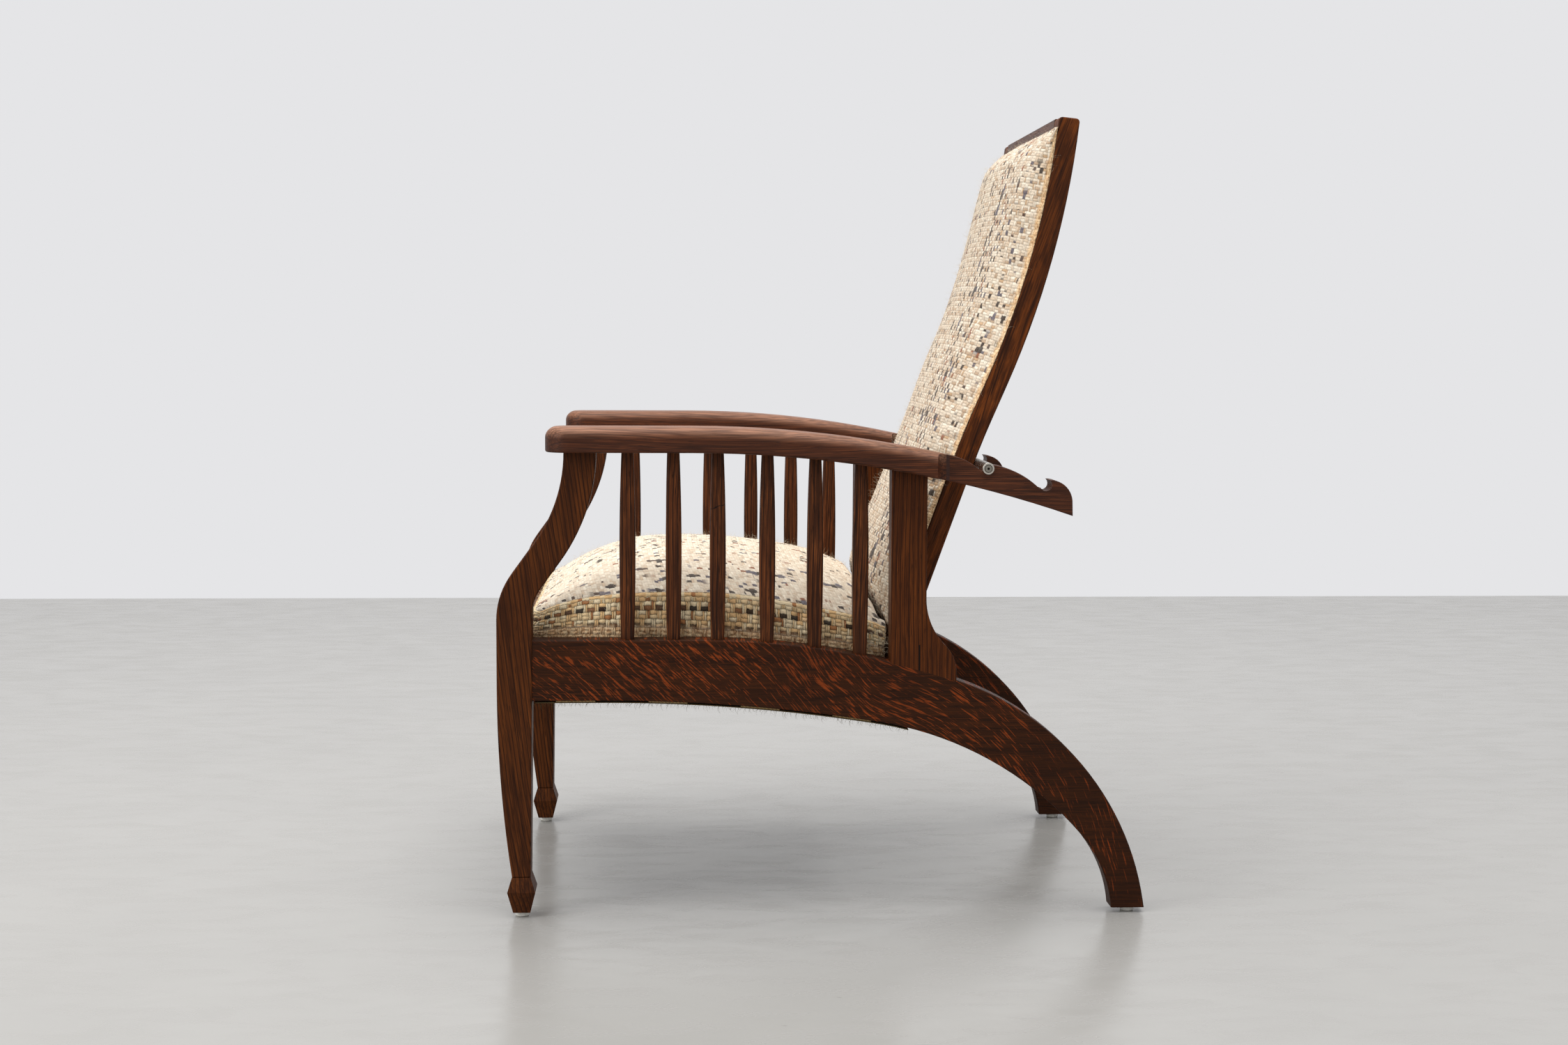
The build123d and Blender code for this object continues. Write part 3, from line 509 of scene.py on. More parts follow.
# Tweed: cream wool in a basket weave. U counts cells across the cloth and V along it.
tweed = {
    "cream": tones(  # of single pieces of yarn
        (0.0, 200, 172, 144), (0.12, 224, 202, 176), (0.40, 236, 219, 196), (0.78, 248, 235, 214),
        (0.94, 206, 172, 136),
    ),
    "flecks": tones(
        (0.0, 38, 28, 30), (0.46, 76, 52, 44), (0.62, 92, 88, 102), (0.86, 150, 88, 58),
    ),
    "caramel": tones(  # the plain yarns under the seat's seam
        (0.0, 244, 202, 146), (0.30, 253, 222, 172), (0.62, 255, 234, 194), (0.94, 188, 130, 84),
    ),
    "stripe": tones(  # the coloured yarns under the seat's seam
        (0.0, 34, 24, 24), (0.44, 84, 54, 40), (0.60, 146, 96, 62), (0.76, 244, 208, 160),
    ),
    "fluff": tones((0.0, 122, 84, 52), (0.3, 214, 166, 116), (0.7, 246, 214, 168)),
    # painted light: the seat's top is made paler, as light falls on it from above
    "seatTop": paint(255, 243, 222),
    "backStart": 450,  # U of the back's weave is above this
    "sideStart": -10,  # V of a side's first row of weave, and its rows count down from it
    "stripeRows": 3.8,
    "cordRows": 0.6,  # a long yarn lies along the seam
    "topColumns": 71,  # U of the seat's top, whose outermost yarns are coloured too
    "ragged": 0.34,  # how far the yarns wander from straight lines, in cells
    "raggedScale": 230,
    "spread": 0.13,  # how far a crosswise float spreads over its neighbours, in cells
    "twist": (3.5, 3),  # a yarn's strands along and across a cell
    # painted shade in the grooves between a yarn's strands
    "twistShade": 0.06,
    "gapShade": (0.5, 0.44),  # painted shade: how light they stay at a yarn's ends and sides
    "gapShadeLifted": (0.82, 0.38),  # the painted shade lifted on the seat's top, and so much less on the back
    "relief": 0.0010,
    "sideRelief": 0.0014,  # more of it on the sides
    "shares": {"seatTop": 0.35, "stripe": 0.94, "dark": 0.9, "felt": 0.9},
    "dark": {  # a lower limit gives more dark pieces
        "stretchLimit": 0.635,
        "stretchPace": 0.16,  # the stretches are shorter when this is larger
        "columns": (518, 554),  # U of the back's columns with the most of them
        "columnHalf": 1.6,
        "columnMore": 0.09,
        "favoured": 0.62,  # columns whose chance is above this have more of them too
        "favouredMore": 0.10,
        "covered": (0.45, 0.35),  # share covered by crosswise yarns, and so much more on the back
        "dashLimit": 0.67,
        "dashPace": 0.45,
        "weftLess": 0.04,
        "rimMore": 0.2,
        "plaid": 8,  # cells from one row of short pieces to the next
        "plaidWidth": 1.1,
        "plaidMore": 0.09,
        "sharpness": 30.0,
    },
}


def spreadFloats(u, v, spread):
    # widens the cells whose crosswise yarns lie on top, and narrows the others
    odd = (v.of("FLOOR") * 0.5).of("FRACT") * 2
    middle = ((u - odd + 0.5) * 0.5).of("FLOOR") * 2 + odd + 0.5
    away = u - middle
    far = away.of("ABSOLUTE")
    within = far < 0.5 + spread
    beyond = 1 - (1 - far) * (1 / (1 - 2 * spread))
    return middle + away.of("SIGN") * (beyond + within * (far * (1 / (1 + 2 * spread)) - beyond))


def darkPieces(finish, u, v, along, side, overWeft, rim, look):
    # a yarn is dark for a stretch, more often in some columns, and short pieces in plaid rows
    dark, column, row = look["dark"], u.of("FLOOR"), v.of("FLOOR")
    kind = finish.add("ShaderNodeTexWhiteNoise", {"noise_dimensions": "1D"}, {"W": column})
    half = dark["columnHalf"]
    first, second = [(u - middle).of("ABSOLUTE") < half for middle in dark["columns"]]
    limit = dark["stretchLimit"] - (kind > dark["favoured"]) * dark["favouredMore"]
    limit = limit - (first + second) * dark["columnMore"]
    stretch = finish.drawn(v * dark["stretchPace"], column * 5.3, 9.4, 2, 0.6)
    usual, more = dark["covered"]
    covered = finish.chance(column, row, 7.0) < usual + (u > look["backStart"]) * more
    often = (stretch - limit).limited(dark["sharpness"]) * (1 - overWeft * covered)

    pair = side.of("FLOOR") + overWeft * 211
    dash = finish.drawn(along * dark["dashPace"], pair * 3.1, 4.4, 1)
    inPlaid = (v / dark["plaid"]).of("FRACT") < dark["plaidWidth"] / dark["plaid"]
    dash = dash + inPlaid * dark["plaidMore"] + rim * (1 - overWeft) * dark["rimMore"]
    short = dash - dark["dashLimit"] - overWeft * dark["weftLess"]
    return often.larger(short.limited(dark["sharpness"]))


def makeTweed(name, look):
    finish = Finish(name)
    place = finish.place()
    u, v, spare = finish.split(finish.add("ShaderNodeUVMap", {"uv_map": "weave"}))
    shift = finish.other(finish.noise(place, look["raggedScale"], 2), "Color")
    shiftU, shiftV, spare = finish.split(shift)
    u, v = u + (shiftU - 0.5) * look["ragged"], v + (shiftV - 0.5) * look["ragged"]
    rows = look["sideStart"] - v
    onSide = v < look["sideStart"] / 2
    onBack = u > look["backStart"]
    band = onSide * (rows < look["stripeRows"])
    cord = onSide * (rows < look["cordRows"])
    half = look["topColumns"] / 2
    rim = (u - half).of("ABSOLUTE")
    rim = (1 - onSide) * (rim > half - 1) * (rim < half + 1)
    u = spreadFloats(u, v, look["spread"])
    overWeft = (((u.of("FLOOR") + v.of("FLOOR")) * 0.5).of("FRACT") < 0.25).larger(cord)
    along = v + (u - v) * overWeft
    side = u + v - along
    yarn = (side * 2).of("FLOOR") + overWeft * 517

    single = side.of("FRACT") < 0.5
    stripe = ((rows.of("FLOOR") * 0.5).of("FRACT") > 0.25) * band * overWeft * single
    dark = darkPieces(finish, u, v, along, side, overWeft, rim, look) * (1 - band)
    spot = finish.chance(along.of("FLOOR"), yarn, 5.0)
    tone = finish.chance(along.of("FLOOR"), yarn, 8.0)
    piece = finish.chance((v * 0.5).of("FLOOR"), u.of("FLOOR"), 3.0)
    slub = finish.drawn(along * 0.9, yarn * 3.7, 0.0, 3, 0.6)
    cream, caramel = [finish.ramp(tone, look[key], True) for key in ("cream", "caramel")]
    colour = finish.mix(band, cream, caramel)
    colour = finish.darkened(colour, slub.between(0.25, 0.75, 0.93, 1.0))
    # the seat's top is painted paler here, as painted light
    shares = look["shares"]
    colour = finish.layered(
        colour,
        ((1 - onSide) * (1 - onBack) * shares["seatTop"], look["seatTop"]),
        (stripe * shares["stripe"], finish.ramp(spot, look["stripe"], True)),
        (dark * shares["dark"], finish.ramp(piece, look["flecks"], True)),
    )

    # the yarns' roundness, with painted shade in the gaps between them and in the twist of their
    # strands
    arch = (along.of("FRACT") * math.pi).of("SINE")
    arch = arch + cord * (1 - arch)
    ridge = (side * (2 * math.pi)).of("SINE").of("ABSOLUTE")
    strandsAlong, strandsAcross = look["twist"]
    twist = ((along * strandsAlong + side * strandsAcross) * (2 * math.pi)).of("SINE")
    atEnds, atSides = look["gapShade"]
    yarnShade = arch.between(0.0, 0.6, atEnds, 1.0) * ridge.between(0.0, 0.7, atSides, 1.0)
    filled, less = look["gapShadeLifted"]
    yarnShade = yarnShade + (1 - yarnShade) * (1 - onSide) * (filled - onBack * less)
    colour = finish.darkened(colour, yarnShade * (1 - twist.between(-0.2, 1.0) * look["twistShade"]))
    matted = finish.noise(finish.join(u * 1.6, v * 0.7, 0.0), 1.4, 5, 0.7, 0.6)
    felt = finish.ramp(matted.between(0.3, 0.7), look["fluff"])
    fluff = finish.add("ShaderNodeAttribute", {"attribute_name": "fluff"}, output=2)
    colour = finish.mix(fluff.between(0.45, 0.95) * shares["felt"], colour, felt)
    fine = finish.bump(finish.noise(place, 1500, 2) * 0.5 + twist * 0.18, 0.0005, 0.5)
    relief = look["relief"] + onSide * look["sideRelief"]
    return finish.done(
        Base_Color=colour,
        Roughness=0.92,
        Normal=finish.bump(arch * 0.55 + ridge * 0.45, relief, 0.8, fine),
        Sheen_Weight=0.2,
        Sheen_Roughness=0.5,
        Specular_IOR_Level=0.12,
    )


# Plain cloths: threads over and under each other, from Object coordinates
clothLooks = {  # dark, light, and from thread to thread
    "jute": (paint(108, 84, 54), paint(176, 148, 104), 0.0022),
    "hessian": (paint(96, 76, 50), paint(160, 134, 94), 0.0016),
    "lining": (paint(64, 52, 36), paint(112, 96, 70), 0.0012),
    "dust": (paint(56, 46, 30), paint(104, 88, 60), 0.0014),
    "wool": (paint(182, 164, 134), paint(236, 224, 200), 0.004),
}


def makeCloth(name, dark, light, pitch):
    finish = Finish(name)
    place = finish.place()
    x, y, z = finish.split(place)
    weft, warp = [(way * (math.pi / pitch)).of("SINE") for way in (x, y + z)]
    threads = weft * warp * 0.5 + 0.5
    # darker where the threads dip under each other, as painted shade, with noise for the threads'
    # own tones
    shade = threads * 0.5 + finish.noise(place, 220, 3, 0.6) * 0.6
    return finish.done(
        Base_Color=finish.mix(shade.between(0.15, 0.85), dark, light),
        Roughness=0.95,
        Normal=finish.bump(threads, 0.0004, 0.6),
        Specular_IOR_Level=0.15,
    )


tweedFinish = makeTweed("woolTweed", tweed)
cloths = {name: makeCloth(name, *look) for name, look in clothLooks.items()}
print("finishes made for the cloths")


# Meshes of the soft pieces: panels are grids of points, rows by columns
def lengthsTo(line):
    # how far along a line each of its points is
    return np.r_[0, np.cumsum(np.linalg.norm(np.diff(line, axis=0), axis=1))]


def smoothLine(points, count):
    # points at equal steps along a smooth line through the given ones
    points = np.array(points, float)
    before, after = 2 * points[0] - points[1], 2 * points[-1] - points[-2]
    line = blended(np.vstack([before, points, after]), 24)
    lengths = lengthsTo(line)
    wanted = np.linspace(0, lengths[-1], count)
    return np.stack([np.interp(wanted, lengths, column) for column in line.T], 1)


def blended(points, factor):
    # Catmull-Rom between points, whose first and last only steer
    a, b, c, d = points[:-3], points[1:-2], points[2:-1], points[3:]
    steps = []
    for k in range(factor):
        t = k / factor
        bend = (2 * a - 5 * b + 4 * c - d) * t * t + (3 * b - a - 3 * c + d) * t**3
        steps.append(0.5 * (2 * b + (c - a) * t + bend))
    fine = np.stack(steps, 1).reshape(-1, *points.shape[1:])
    return np.concatenate([fine, points[-2:-1]])


def refined(panel, factor):
    for axis in (0, 1):
        rows = np.moveaxis(panel, axis, 0)
        before, after = 2 * rows[:1] - rows[1:2], 2 * rows[-1:] - rows[-2:-1]
        panel = np.moveaxis(blended(np.concatenate([before, rows, after]), factor), 0, axis)
    return panel


def outward(panel, inside):
    # each point's normal, turned away from a point inside the piece
    normal = np.cross(np.gradient(panel, axis=1), np.gradient(panel, axis=0))
    normal /= np.maximum(np.linalg.norm(normal, axis=2, keepdims=True), 1e-12)
    middle = panel.shape[0] // 2, panel.shape[1] // 2
    return normal if normal[middle] @ (panel[middle] - inside) > 0 else -normal


def standing(u, v):
    # how far the yarn stands out of a basket weave, 0 to 1, with two yarns side by side in a cell
    height = 0
    for stepU in (-1e-4, 1e-4):
        for stepV in (-1e-4, 1e-4):
            a, b = u + stepU, v + stepV
            overWeft = (np.floor(a) + np.floor(b)) % 2 == 0
            along, side = np.where(overWeft, a, b), np.where(overWeft, b, a)
            ridge = 0.45 + 0.55 * np.abs(np.sin(2 * np.pi * side))
            height = height + np.abs(np.sin(np.pi * along)) * ridge / 4
    return height


def edgeFade(shape, cells):
    # 0 on a panel's edges, 1 at some points in from them
    rows, columns = [np.minimum(np.arange(size), np.arange(size)[::-1]) for size in shape[:2]]
    return np.clip(np.minimum(rows[:, None], columns[None, :]) / cells, 0, 1)


def edgeLoop(grid):
    # the grid's edge in one line round it, from its first corner
    return np.concatenate([grid[0, :-1], grid[:-1, -1], grid[-1, :0:-1], grid[:0:-1, 0]])


def gridQuads(places):
    corners = [places[:-1, :-1], places[1:, :-1], places[1:, 1:], places[:-1, 1:]]
    return np.stack([corner.ravel() for corner in corners], 1).tolist()


def counted(shape):
    # each point's row and its column, as two grids
    return np.meshgrid(*[np.arange(float(size)) for size in shape], indexing="ij")


def welded(panels):
    # one list of points for panels that share edges, and each panel's places in it
    every = np.vstack([panel.reshape(-1, 3) for panel in panels])
    near = np.round(every, 6)
    spare, first, kept = np.unique(near, axis=0, return_index=True, return_inverse=True)
    places, start = [], 0
    for panel in panels:
        count = panel.shape[0] * panel.shape[1]
        places.append(kept.ravel()[start:start + count].reshape(panel.shape[:2]))
        start += count
    return every[first], places


def panelFaces(panel, inside):
    # quads as places in the flattened panel, facing away from a point inside the piece
    row, column = panel.shape[0] // 2, panel.shape[1] // 2
    middle = panel[row, column]
    facing = np.cross(panel[row, column + 1] - middle, panel[row + 1, column] - middle)
    place = np.arange(panel.shape[0] * panel.shape[1]).reshape(panel.shape[:2])
    corners = [place[:-1, :-1], place[:-1, 1:], place[1:, 1:], place[1:, :-1]]
    faces = np.stack([corner.ravel() for corner in corners], 1)
    return faces if facing @ (middle - inside) > 0 else faces[:, ::-1]


def meshOf(name, points, faces):
    mesh = bpy.data.meshes.new(name)
    mesh.from_pydata(np.asarray(points).tolist(), [], [[int(n) for n in face] for face in faces])
    mesh.update()
    return mesh


def makeObject(name, points, faces, finish):
    made = newObject(name, meshOf(name, points, faces))
    made.data.materials.append(finish)
    return made


def smoothed(made):
    made.data.polygons.foreach_set("use_smooth", [True] * len(made.data.polygons))
    return made


puff = {
    "frames": 20,
    "pressure": 4.0,
    "stiffness": 18.0,
    "bending": 0.4,
    "slack": 0.012,
    "quality": 5,
    "mass": 0.15,
}


def puffed(points, faces, pinned, furthest):
    # air pressure in the cover pushes it out between its pinned places
    made = makeObject("puffing", points, faces, None)
    made.vertex_groups.new(name="pins").add([int(i) for i in pinned], 1.0, "REPLACE")
    cloth = made.modifiers.new("cover", "CLOTH")
    cloth.point_cache.frame_start, cloth.point_cache.frame_end = 1, puff["frames"]
    chosen = {
        "quality": puff["quality"], "mass": puff["mass"], "shrink_min": -puff["slack"],
        "tension_stiffness": puff["stiffness"], "compression_stiffness": puff["stiffness"],
        "shear_stiffness": puff["stiffness"] / 2, "bending_stiffness": puff["bending"],
        "use_pressure": True, "uniform_pressure_force": puff["pressure"],
        "vertex_group_mass": "pins",
    }
    for name, value in chosen.items():
        setattr(cloth.settings, name, value)
    cloth.settings.effector_weights.gravity = 0
    for step in range(1, puff["frames"] + 1):
        scene.frame_set(step)
    evaluated = made.evaluated_get(bpy.context.evaluated_depsgraph_get())
    moved = np.zeros(len(points) * 3)
    evaluated.data.vertices.foreach_get("co", moved)
    shift = moved.reshape(-1, 3) - points
    length = np.linalg.norm(shift, axis=1, keepdims=True)
    print(f"  cover moved {length.max() * 1000:.1f} mm at most")
    scene.frame_set(1)
    bpy.data.objects.remove(made)
    return points + shift * np.minimum(1, furthest / np.maximum(length, 1e-9))


# Cushion pieces are woven: cells of weave are counted along U and V of the map "weave"
weave = {
    "refine": 4,
    "relief": 0.0008,
    "sideRelief": 0.0015,
    "underV": -30.0,  # of the underside, well below the sides' seam
}


def weaveObject(name, panels, closing, inside):
    # a cushion's cover from its panels, with the weave raised on it and its underside closed
    factor = weave["refine"]
    fine = []
    for panel in panels:
        points, cells, relief, fluff = [refined(part, factor) for part in panel]
        height = standing(cells[..., 0], cells[..., 1]) * edgeFade(cells.shape, factor / 2)
        points = points + outward(points, inside) * height[..., None] * relief
        fine.append((points, cells, fluff))
    points, places = welded([panel[0] for panel in fine])
    faces, corners, fluff = [], [], np.zeros(len(points))
    for (panel, cells, soft), place in zip(fine, places):
        quads = panelFaces(panel, inside)
        faces.append(place.ravel()[quads])
        corners.append(cells.reshape(-1, 2)[quads.ravel()])
        fluff[place.ravel()] = soft.ravel()
    faces, corners = np.vstack(faces), np.vstack(corners)
    points, under = closing(points, places)
    made = makeObject(name, points, faces.tolist() + under, tweedFinish)
    cells = np.full((len(made.data.loops), 2), weave["underV"])
    cells[:len(corners)] = corners
    made.data.uv_layers.new(name="weave").data.foreach_set("uv", cells.ravel())
    fluff = np.r_[fluff, np.zeros(len(points) - len(fluff))]
    attribute = made.data.attributes.new("fluff", "FLOAT", "POINT")
    attribute.data.foreach_set("value", fluff.astype(np.float32))
    return smoothed(made)


def makeCover(name, grids, closing, inside, seams, furthest, weaving):
    # grids of points that share edges, puffed up between their seams and then woven
    points, places = welded(grids)
    faces = [place.ravel()[panelFaces(grid, inside)] for grid, place in zip(grids, places)]
    closed, under = closing(points, places)
    pinned = [*np.concatenate(seams(places)), *range(len(points), len(closed))]
    moved = puffed(closed, np.vstack(faces).tolist() + under, pinned, furthest)
    panels = []
    for number, place in enumerate(places):
        cells, *rest = weaving(number, *counted(place.shape))
        relief, fluff = [np.broadcast_to(part, place.shape)[..., None] for part in rest]
        panels.append((moved[place], np.stack(cells, 2), relief, fluff))
    return weaveObject(name, panels, closing, inside)


# Seat cushion
seat = {
    "halfWidth": 0.250,
    "bulge": 0.009,
    "bulgePower": 0.8,
    "frontBulge": 0.3,  # share of it at the front, and the rear has none
    "sideSeam": [  # behind, up
        (0.045, 0.392), (0.075, 0.402), (0.112, 0.411), (0.160, 0.416), (0.220, 0.418),
        (0.295, 0.416), (0.355, 0.4085), (0.410, 0.398), (0.460, 0.387), (0.506, 0.371),
    ],
    "middle": [
        (0.047, 0.396), (0.061, 0.411), (0.085, 0.431), (0.121, 0.449), (0.181, 0.460),
        (0.252, 0.462), (0.324, 0.457), (0.384, 0.449), (0.420, 0.442), (0.450, 0.435),
        (0.471, 0.427),
    ],
    "crownPower": 2.6,
    "inside": (0, 0.27, 0.38),  # a point inside: across, behind, up
    "cells": (71, 64),
    "sideRows": 9,
    "sideCells": (1.0, 0.75),  # cells of weave for each of the mesh, round the sides and down
    "sideStep": 200,  # U from one side's start to the next
    "matted": (3.3, 0.7),  # rows of weave below the seam, and over how many more
    "front": 0.047,  # where its middle starts
    "frontTurn": (0.075, 1.5),  # ahead of this the sides draw in below the seam, so much faster
    "under": (0.352, 0.325),  # height at the front and the rear
    "underReach": (0.0316, 0.47),
    "corners": (0.028, 0.015),  # rounding at the front and the rear
    "padHalf": (0.229, 0.2315),  # the pad's front and its widest place, from the middle
    "padLayers": 0.0034 + 0.0275 + 0.0024,  # from the hinge line to the pad's underside
    "padEdge": 0.018,
    "padCrown": 0.048,
    "backGap": 0.0015,
    "besidePad": (0.508, 0.500),  # how far behind it reaches beside the pad, at seam and foot
    "start": 0.8,  # the crown's share before the cover is puffed up
    "rearStart": (0.6, 4),  # and of the rest at the rear, with how late that comes
    "endFace": 0.004,  # the underside's last face starts at least this far from the rear
    "furthest": 0.012,  # that puffing up may move it
    "fluffTop": 0.35,
    "squashUp": 0.40,  # height of the point that the squash is measured from
    "keep": 0.968,
}


def seatRear(x, height, beside):
    # how far behind the seat reaches under the pad, tipped forward or not, and beside it
    hingeBehind, hingeHeight = chair["hinge"]
    share = np.clip(np.abs(x) / seat["padHalf"][0], 0, 1)
    pad = seat["padEdge"] + (seat["padCrown"] - seat["padEdge"]) * (1 - share**2)
    layers = (seat["padLayers"] + pad) / math.cos(chair["lean"])
    line = hingeBehind + (height - hingeHeight) * math.tan(chair["lean"])
    return np.where(np.abs(x) < seat["padHalf"][1], line - layers - seat["backGap"], beside)


def roundedCorners(x, behind, front, rear):
    # draws the corners of a flat grid in to arcs
    x, behind = x.copy(), behind.copy()
    for radius, edge, way in ((seat["corners"][0], front, -1), (seat["corners"][1], rear, 1)):
        a = np.clip((np.abs(x) - (seat["halfWidth"] - radius)) / radius, 0, 1)
        b = np.clip((way * (behind - edge) + radius) / radius, 0, 1)
        x -= np.sign(x) * radius * (a - a * np.sqrt(1 - b**2 / 2))
        behind -= way * radius * (b - b * np.sqrt(1 - a**2 / 2))
    return x, behind


def seatTop():
    columns, rows = seat["cells"][0] + 1, seat["cells"][1] + 1
    s, start = np.linspace(-1, 1, columns)[None, :], seat["start"]
    edge, middle = smoothLine(seat["sideSeam"], rows), smoothLine(seat["middle"], rows)
    lift = 1 - np.abs(s) ** seat["crownPower"]
    more, power = seat["rearStart"]
    share = start + (1 - start) * more * np.linspace(0, 1, rows)[:, None] ** power
    behind = edge[:, :1] + (middle[:, :1] - edge[:, :1]) * lift
    height = edge[:, 1:] + (middle[:, 1:] - edge[:, 1:]) * lift * share
    x = np.repeat(s * seat["halfWidth"], rows, 0)
    behind = np.minimum(behind, seatRear(x, height, seat["besidePad"][0]))
    x, behind = roundedCorners(x, behind, behind[:1].repeat(rows, 0), behind[-1:].repeat(rows, 0))
    return np.stack([x, at(behind), height], 2)


def seatSides(top):
    # the ring between the seam and the underside
    rows = seat["sideRows"] + 1
    seam = edgeLoop(top)
    front, rear = [at(behind) for behind in seat["underReach"]]
    share = np.clip((seam[:, 1] - front) / (rear - front), 0, 1)
    low = seat["under"][0] + (seat["under"][1] - seat["under"][0]) * share
    foot = np.stack([seam[:, 0], seam[:, 1], low], 1)
    turn, faster = seat["frontTurn"]
    drawn = front + (seam[:, 1] - at(seat["front"])) * faster
    foot[:, 1] = np.where(seam[:, 1] < at(turn), drawn, foot[:, 1])
    foot[:, 1] = np.minimum(foot[:, 1], at(seatRear(seam[:, 0], low, seat["besidePad"][1])))
    out = np.stack([np.gradient(seam[:, 1]), -np.gradient(seam[:, 0]), np.zeros(len(seam))], 1)
    out /= np.maximum(np.linalg.norm(out, axis=1, keepdims=True), 1e-9)
    out[:, 1] = np.where(out[:, 1] > 0, 0, out[:, 1] * seat["frontBulge"])
    t = np.linspace(0, 1, rows)[:, None, None]
    ring = seam[None] + (foot - seam)[None] * t
    return ring + out[None] * (np.sin(np.pi * t) ** seat["bulgePower"] * seat["bulge"])


def seatSeams(places):
    return [row for place in places[1:] for row in (place[0], place[-1])]


def seatWeave(number, down, along):
    # cells along U and V, relief and fluff of the top and of the four sides
    if number == 0:
        return (along, down), weave["relief"], seat["fluffTop"]
    (wide, tall), (clear, fade) = seat["sideCells"], seat["matted"]
    row = down * tall
    cells = (along * wide + seat["sideStep"] * number, tweed["sideStart"] - row)
    relief = np.where(row < clear, weave["sideRelief"], weave["sideRelief"] / 2)
    return cells, relief, np.clip((row - clear) / fade, seat["fluffTop"], 1)


def makeSeat():
    across, behind, up = seat["inside"]
    inside = np.array([across, at(behind), up])
    columns, rows = seat["cells"]
    top = seatTop()
    ring = seatSides(top)
    ring = np.concatenate([ring, ring[:, :1]], 1)
    corners = np.cumsum([0, columns, rows, columns, rows])
    grids = [top] + [ring[:, a:b + 1] for a, b in zip(corners, corners[1:])]
    how = (seatSeams, seat["furthest"], seatWeave)
    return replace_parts(makeCover("seatCover", grids, closeSeat, inside, *how), "seat_cushion")


def closeSeat(points, places):
    # the underside: strips across the seat, with one wide face at each end
    front, right, rear, left = [place[-1] for place in places[1:]]
    left = left[::-1]
    limit = points[rear, 1].min() - seat["endFace"]
    count = int((points[right, 1] < limit).sum()) - 1
    under = [[left[1], right[1], *front[::-1]]]
    for i in range(1, count):
        under.append([left[i], left[i + 1], right[i + 1], right[i]])
    end = [*right[count:], *rear[1:], *left[count:-1][::-1]]
    return points, under + [end[::-1]]


seatCover = makeSeat()
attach(seatCover, "frame")
print("seat cushion made")


# Back pad, on the front of the back's frame
back = {
    "proud": 0.0034,  # the stile's rear edge is this far in front of the hinge line
    "leaf": 0.0017,  # and starts this far above it
    "depth": 0.0275,  # of the stiles
    "course": [  # length, or radius at the rear edge with its turn in degrees
        (0.245, 0), (1.000, -3.6), (0.052, 0), (1.1775, 17.4),
    ],
    "section": [  # across, and forward from the stiles' front
        (0.230, 0.0003), (0.2315, 0.008), (0.229, 0.015), (0.222, 0.021), (0.205, 0.0265),
        (0.170, 0.0335), (0.120, 0.041), (0.060, 0.0475), (0.0, 0.0495),
    ],
    "lumps": [  # distance up the back, and the share of the section's fullness there
        (0.0, 1.1), (0.10, 1.04), (0.17, 0.95), (0.27, 0.88), (0.36, 1.03), (0.45, 1.01),
        (0.58, 1.03), (0.65, 1.10), (0.71, 1.10),
    ],
    "foot": 0.008,
    "top": 0.697,
    "endPowers": (14, 6.5),  # how late the pad curls over at its foot and top
    "endDepth": 0.033,
    "least": 0.0003,  # of its depth at the edges
    "lumpy": 0.03,  # the lumps count fully from this depth on
    "inside": (0, 0.02, -0.01),  # from the middle of its front
    "cells": (72, 98),
    "weaveStart": 500,  # U of its first column
    "innerHalf": 0.2265,  # the underside steps forward here, to clear the webbing
    "innerForward": 0.0024,
    "start": 0.82,
    "fluff": 0.30,
    # fibres on the side strips, whose felt colour is partly painted shade
    "edgeFluffAndShade": 0.85,
    "bareRows": 14,  # at the foot, where the pad comes down on the seat
    "furthest": 0.010,
}


def backCourse(forward, distances):
    # behind, up and heading at distances along a line in front of the stile's rear edge
    start = math.pi / 2 - chair["lean"]
    leaf, out = back["leaf"], back["proud"] + forward
    startX = chair["hinge"][0] + leaf * math.cos(start) - out * math.sin(start)
    startZ = chair["hinge"][1] + leaf * math.sin(start) + out * math.cos(start)
    parts = []
    for size, turn in back["course"]:
        radius = size - math.copysign(forward, turn) if turn else 0
        length = radius * math.radians(abs(turn)) if turn else size
        parts.append((length, radius, math.copysign(1, turn)))
    parts[-1] = (math.inf, *parts[-1][1:])
    found = []
    for left in distances:
        x, z, heading = startX, startZ, start
        for length, radius, way in parts:
            part = min(left, length)
            if radius:
                turned = heading + way * part / radius
                x += radius * way * (math.sin(turned) - math.sin(heading))
                z -= radius * way * (math.cos(turned) - math.cos(heading))
                heading = turned
            else:
                x, z = x + part * math.cos(heading), z + part * math.sin(heading)
            left -= part
            if left <= 0:
                break
        found.append((x, z, heading))
    return np.array(found)


def backPoints(across, forward, distances):
    # points on the back from grids of places across it, in front of the stiles and up them
    course = backCourse(back["depth"], distances)
    behind = course[:, :1] - np.sin(course[:, 2:]) * forward
    height = course[:, 1:2] + np.cos(course[:, 2:]) * forward
    return np.stack([np.broadcast_to(across, behind.shape), at(behind), height], 2)


def padRows():
    # distances up the back, so that rows are even where the pad curls over at its ends
    dense = np.linspace(0, 1, 2001)
    power = np.where(dense < 0.5, *back["endPowers"])
    full = (1 - np.abs(2 * dense - 1) ** power).clip(0) ** 0.5
    reach = back["top"] - back["foot"]
    lengths = lengthsTo(np.stack([dense * reach, full * back["endDepth"]], 1))
    wanted = np.linspace(0, lengths[-1], back["cells"][1] + 1)
    share = np.interp(wanted, lengths, dense)
    return back["foot"] + share * reach, np.interp(share, dense, full)


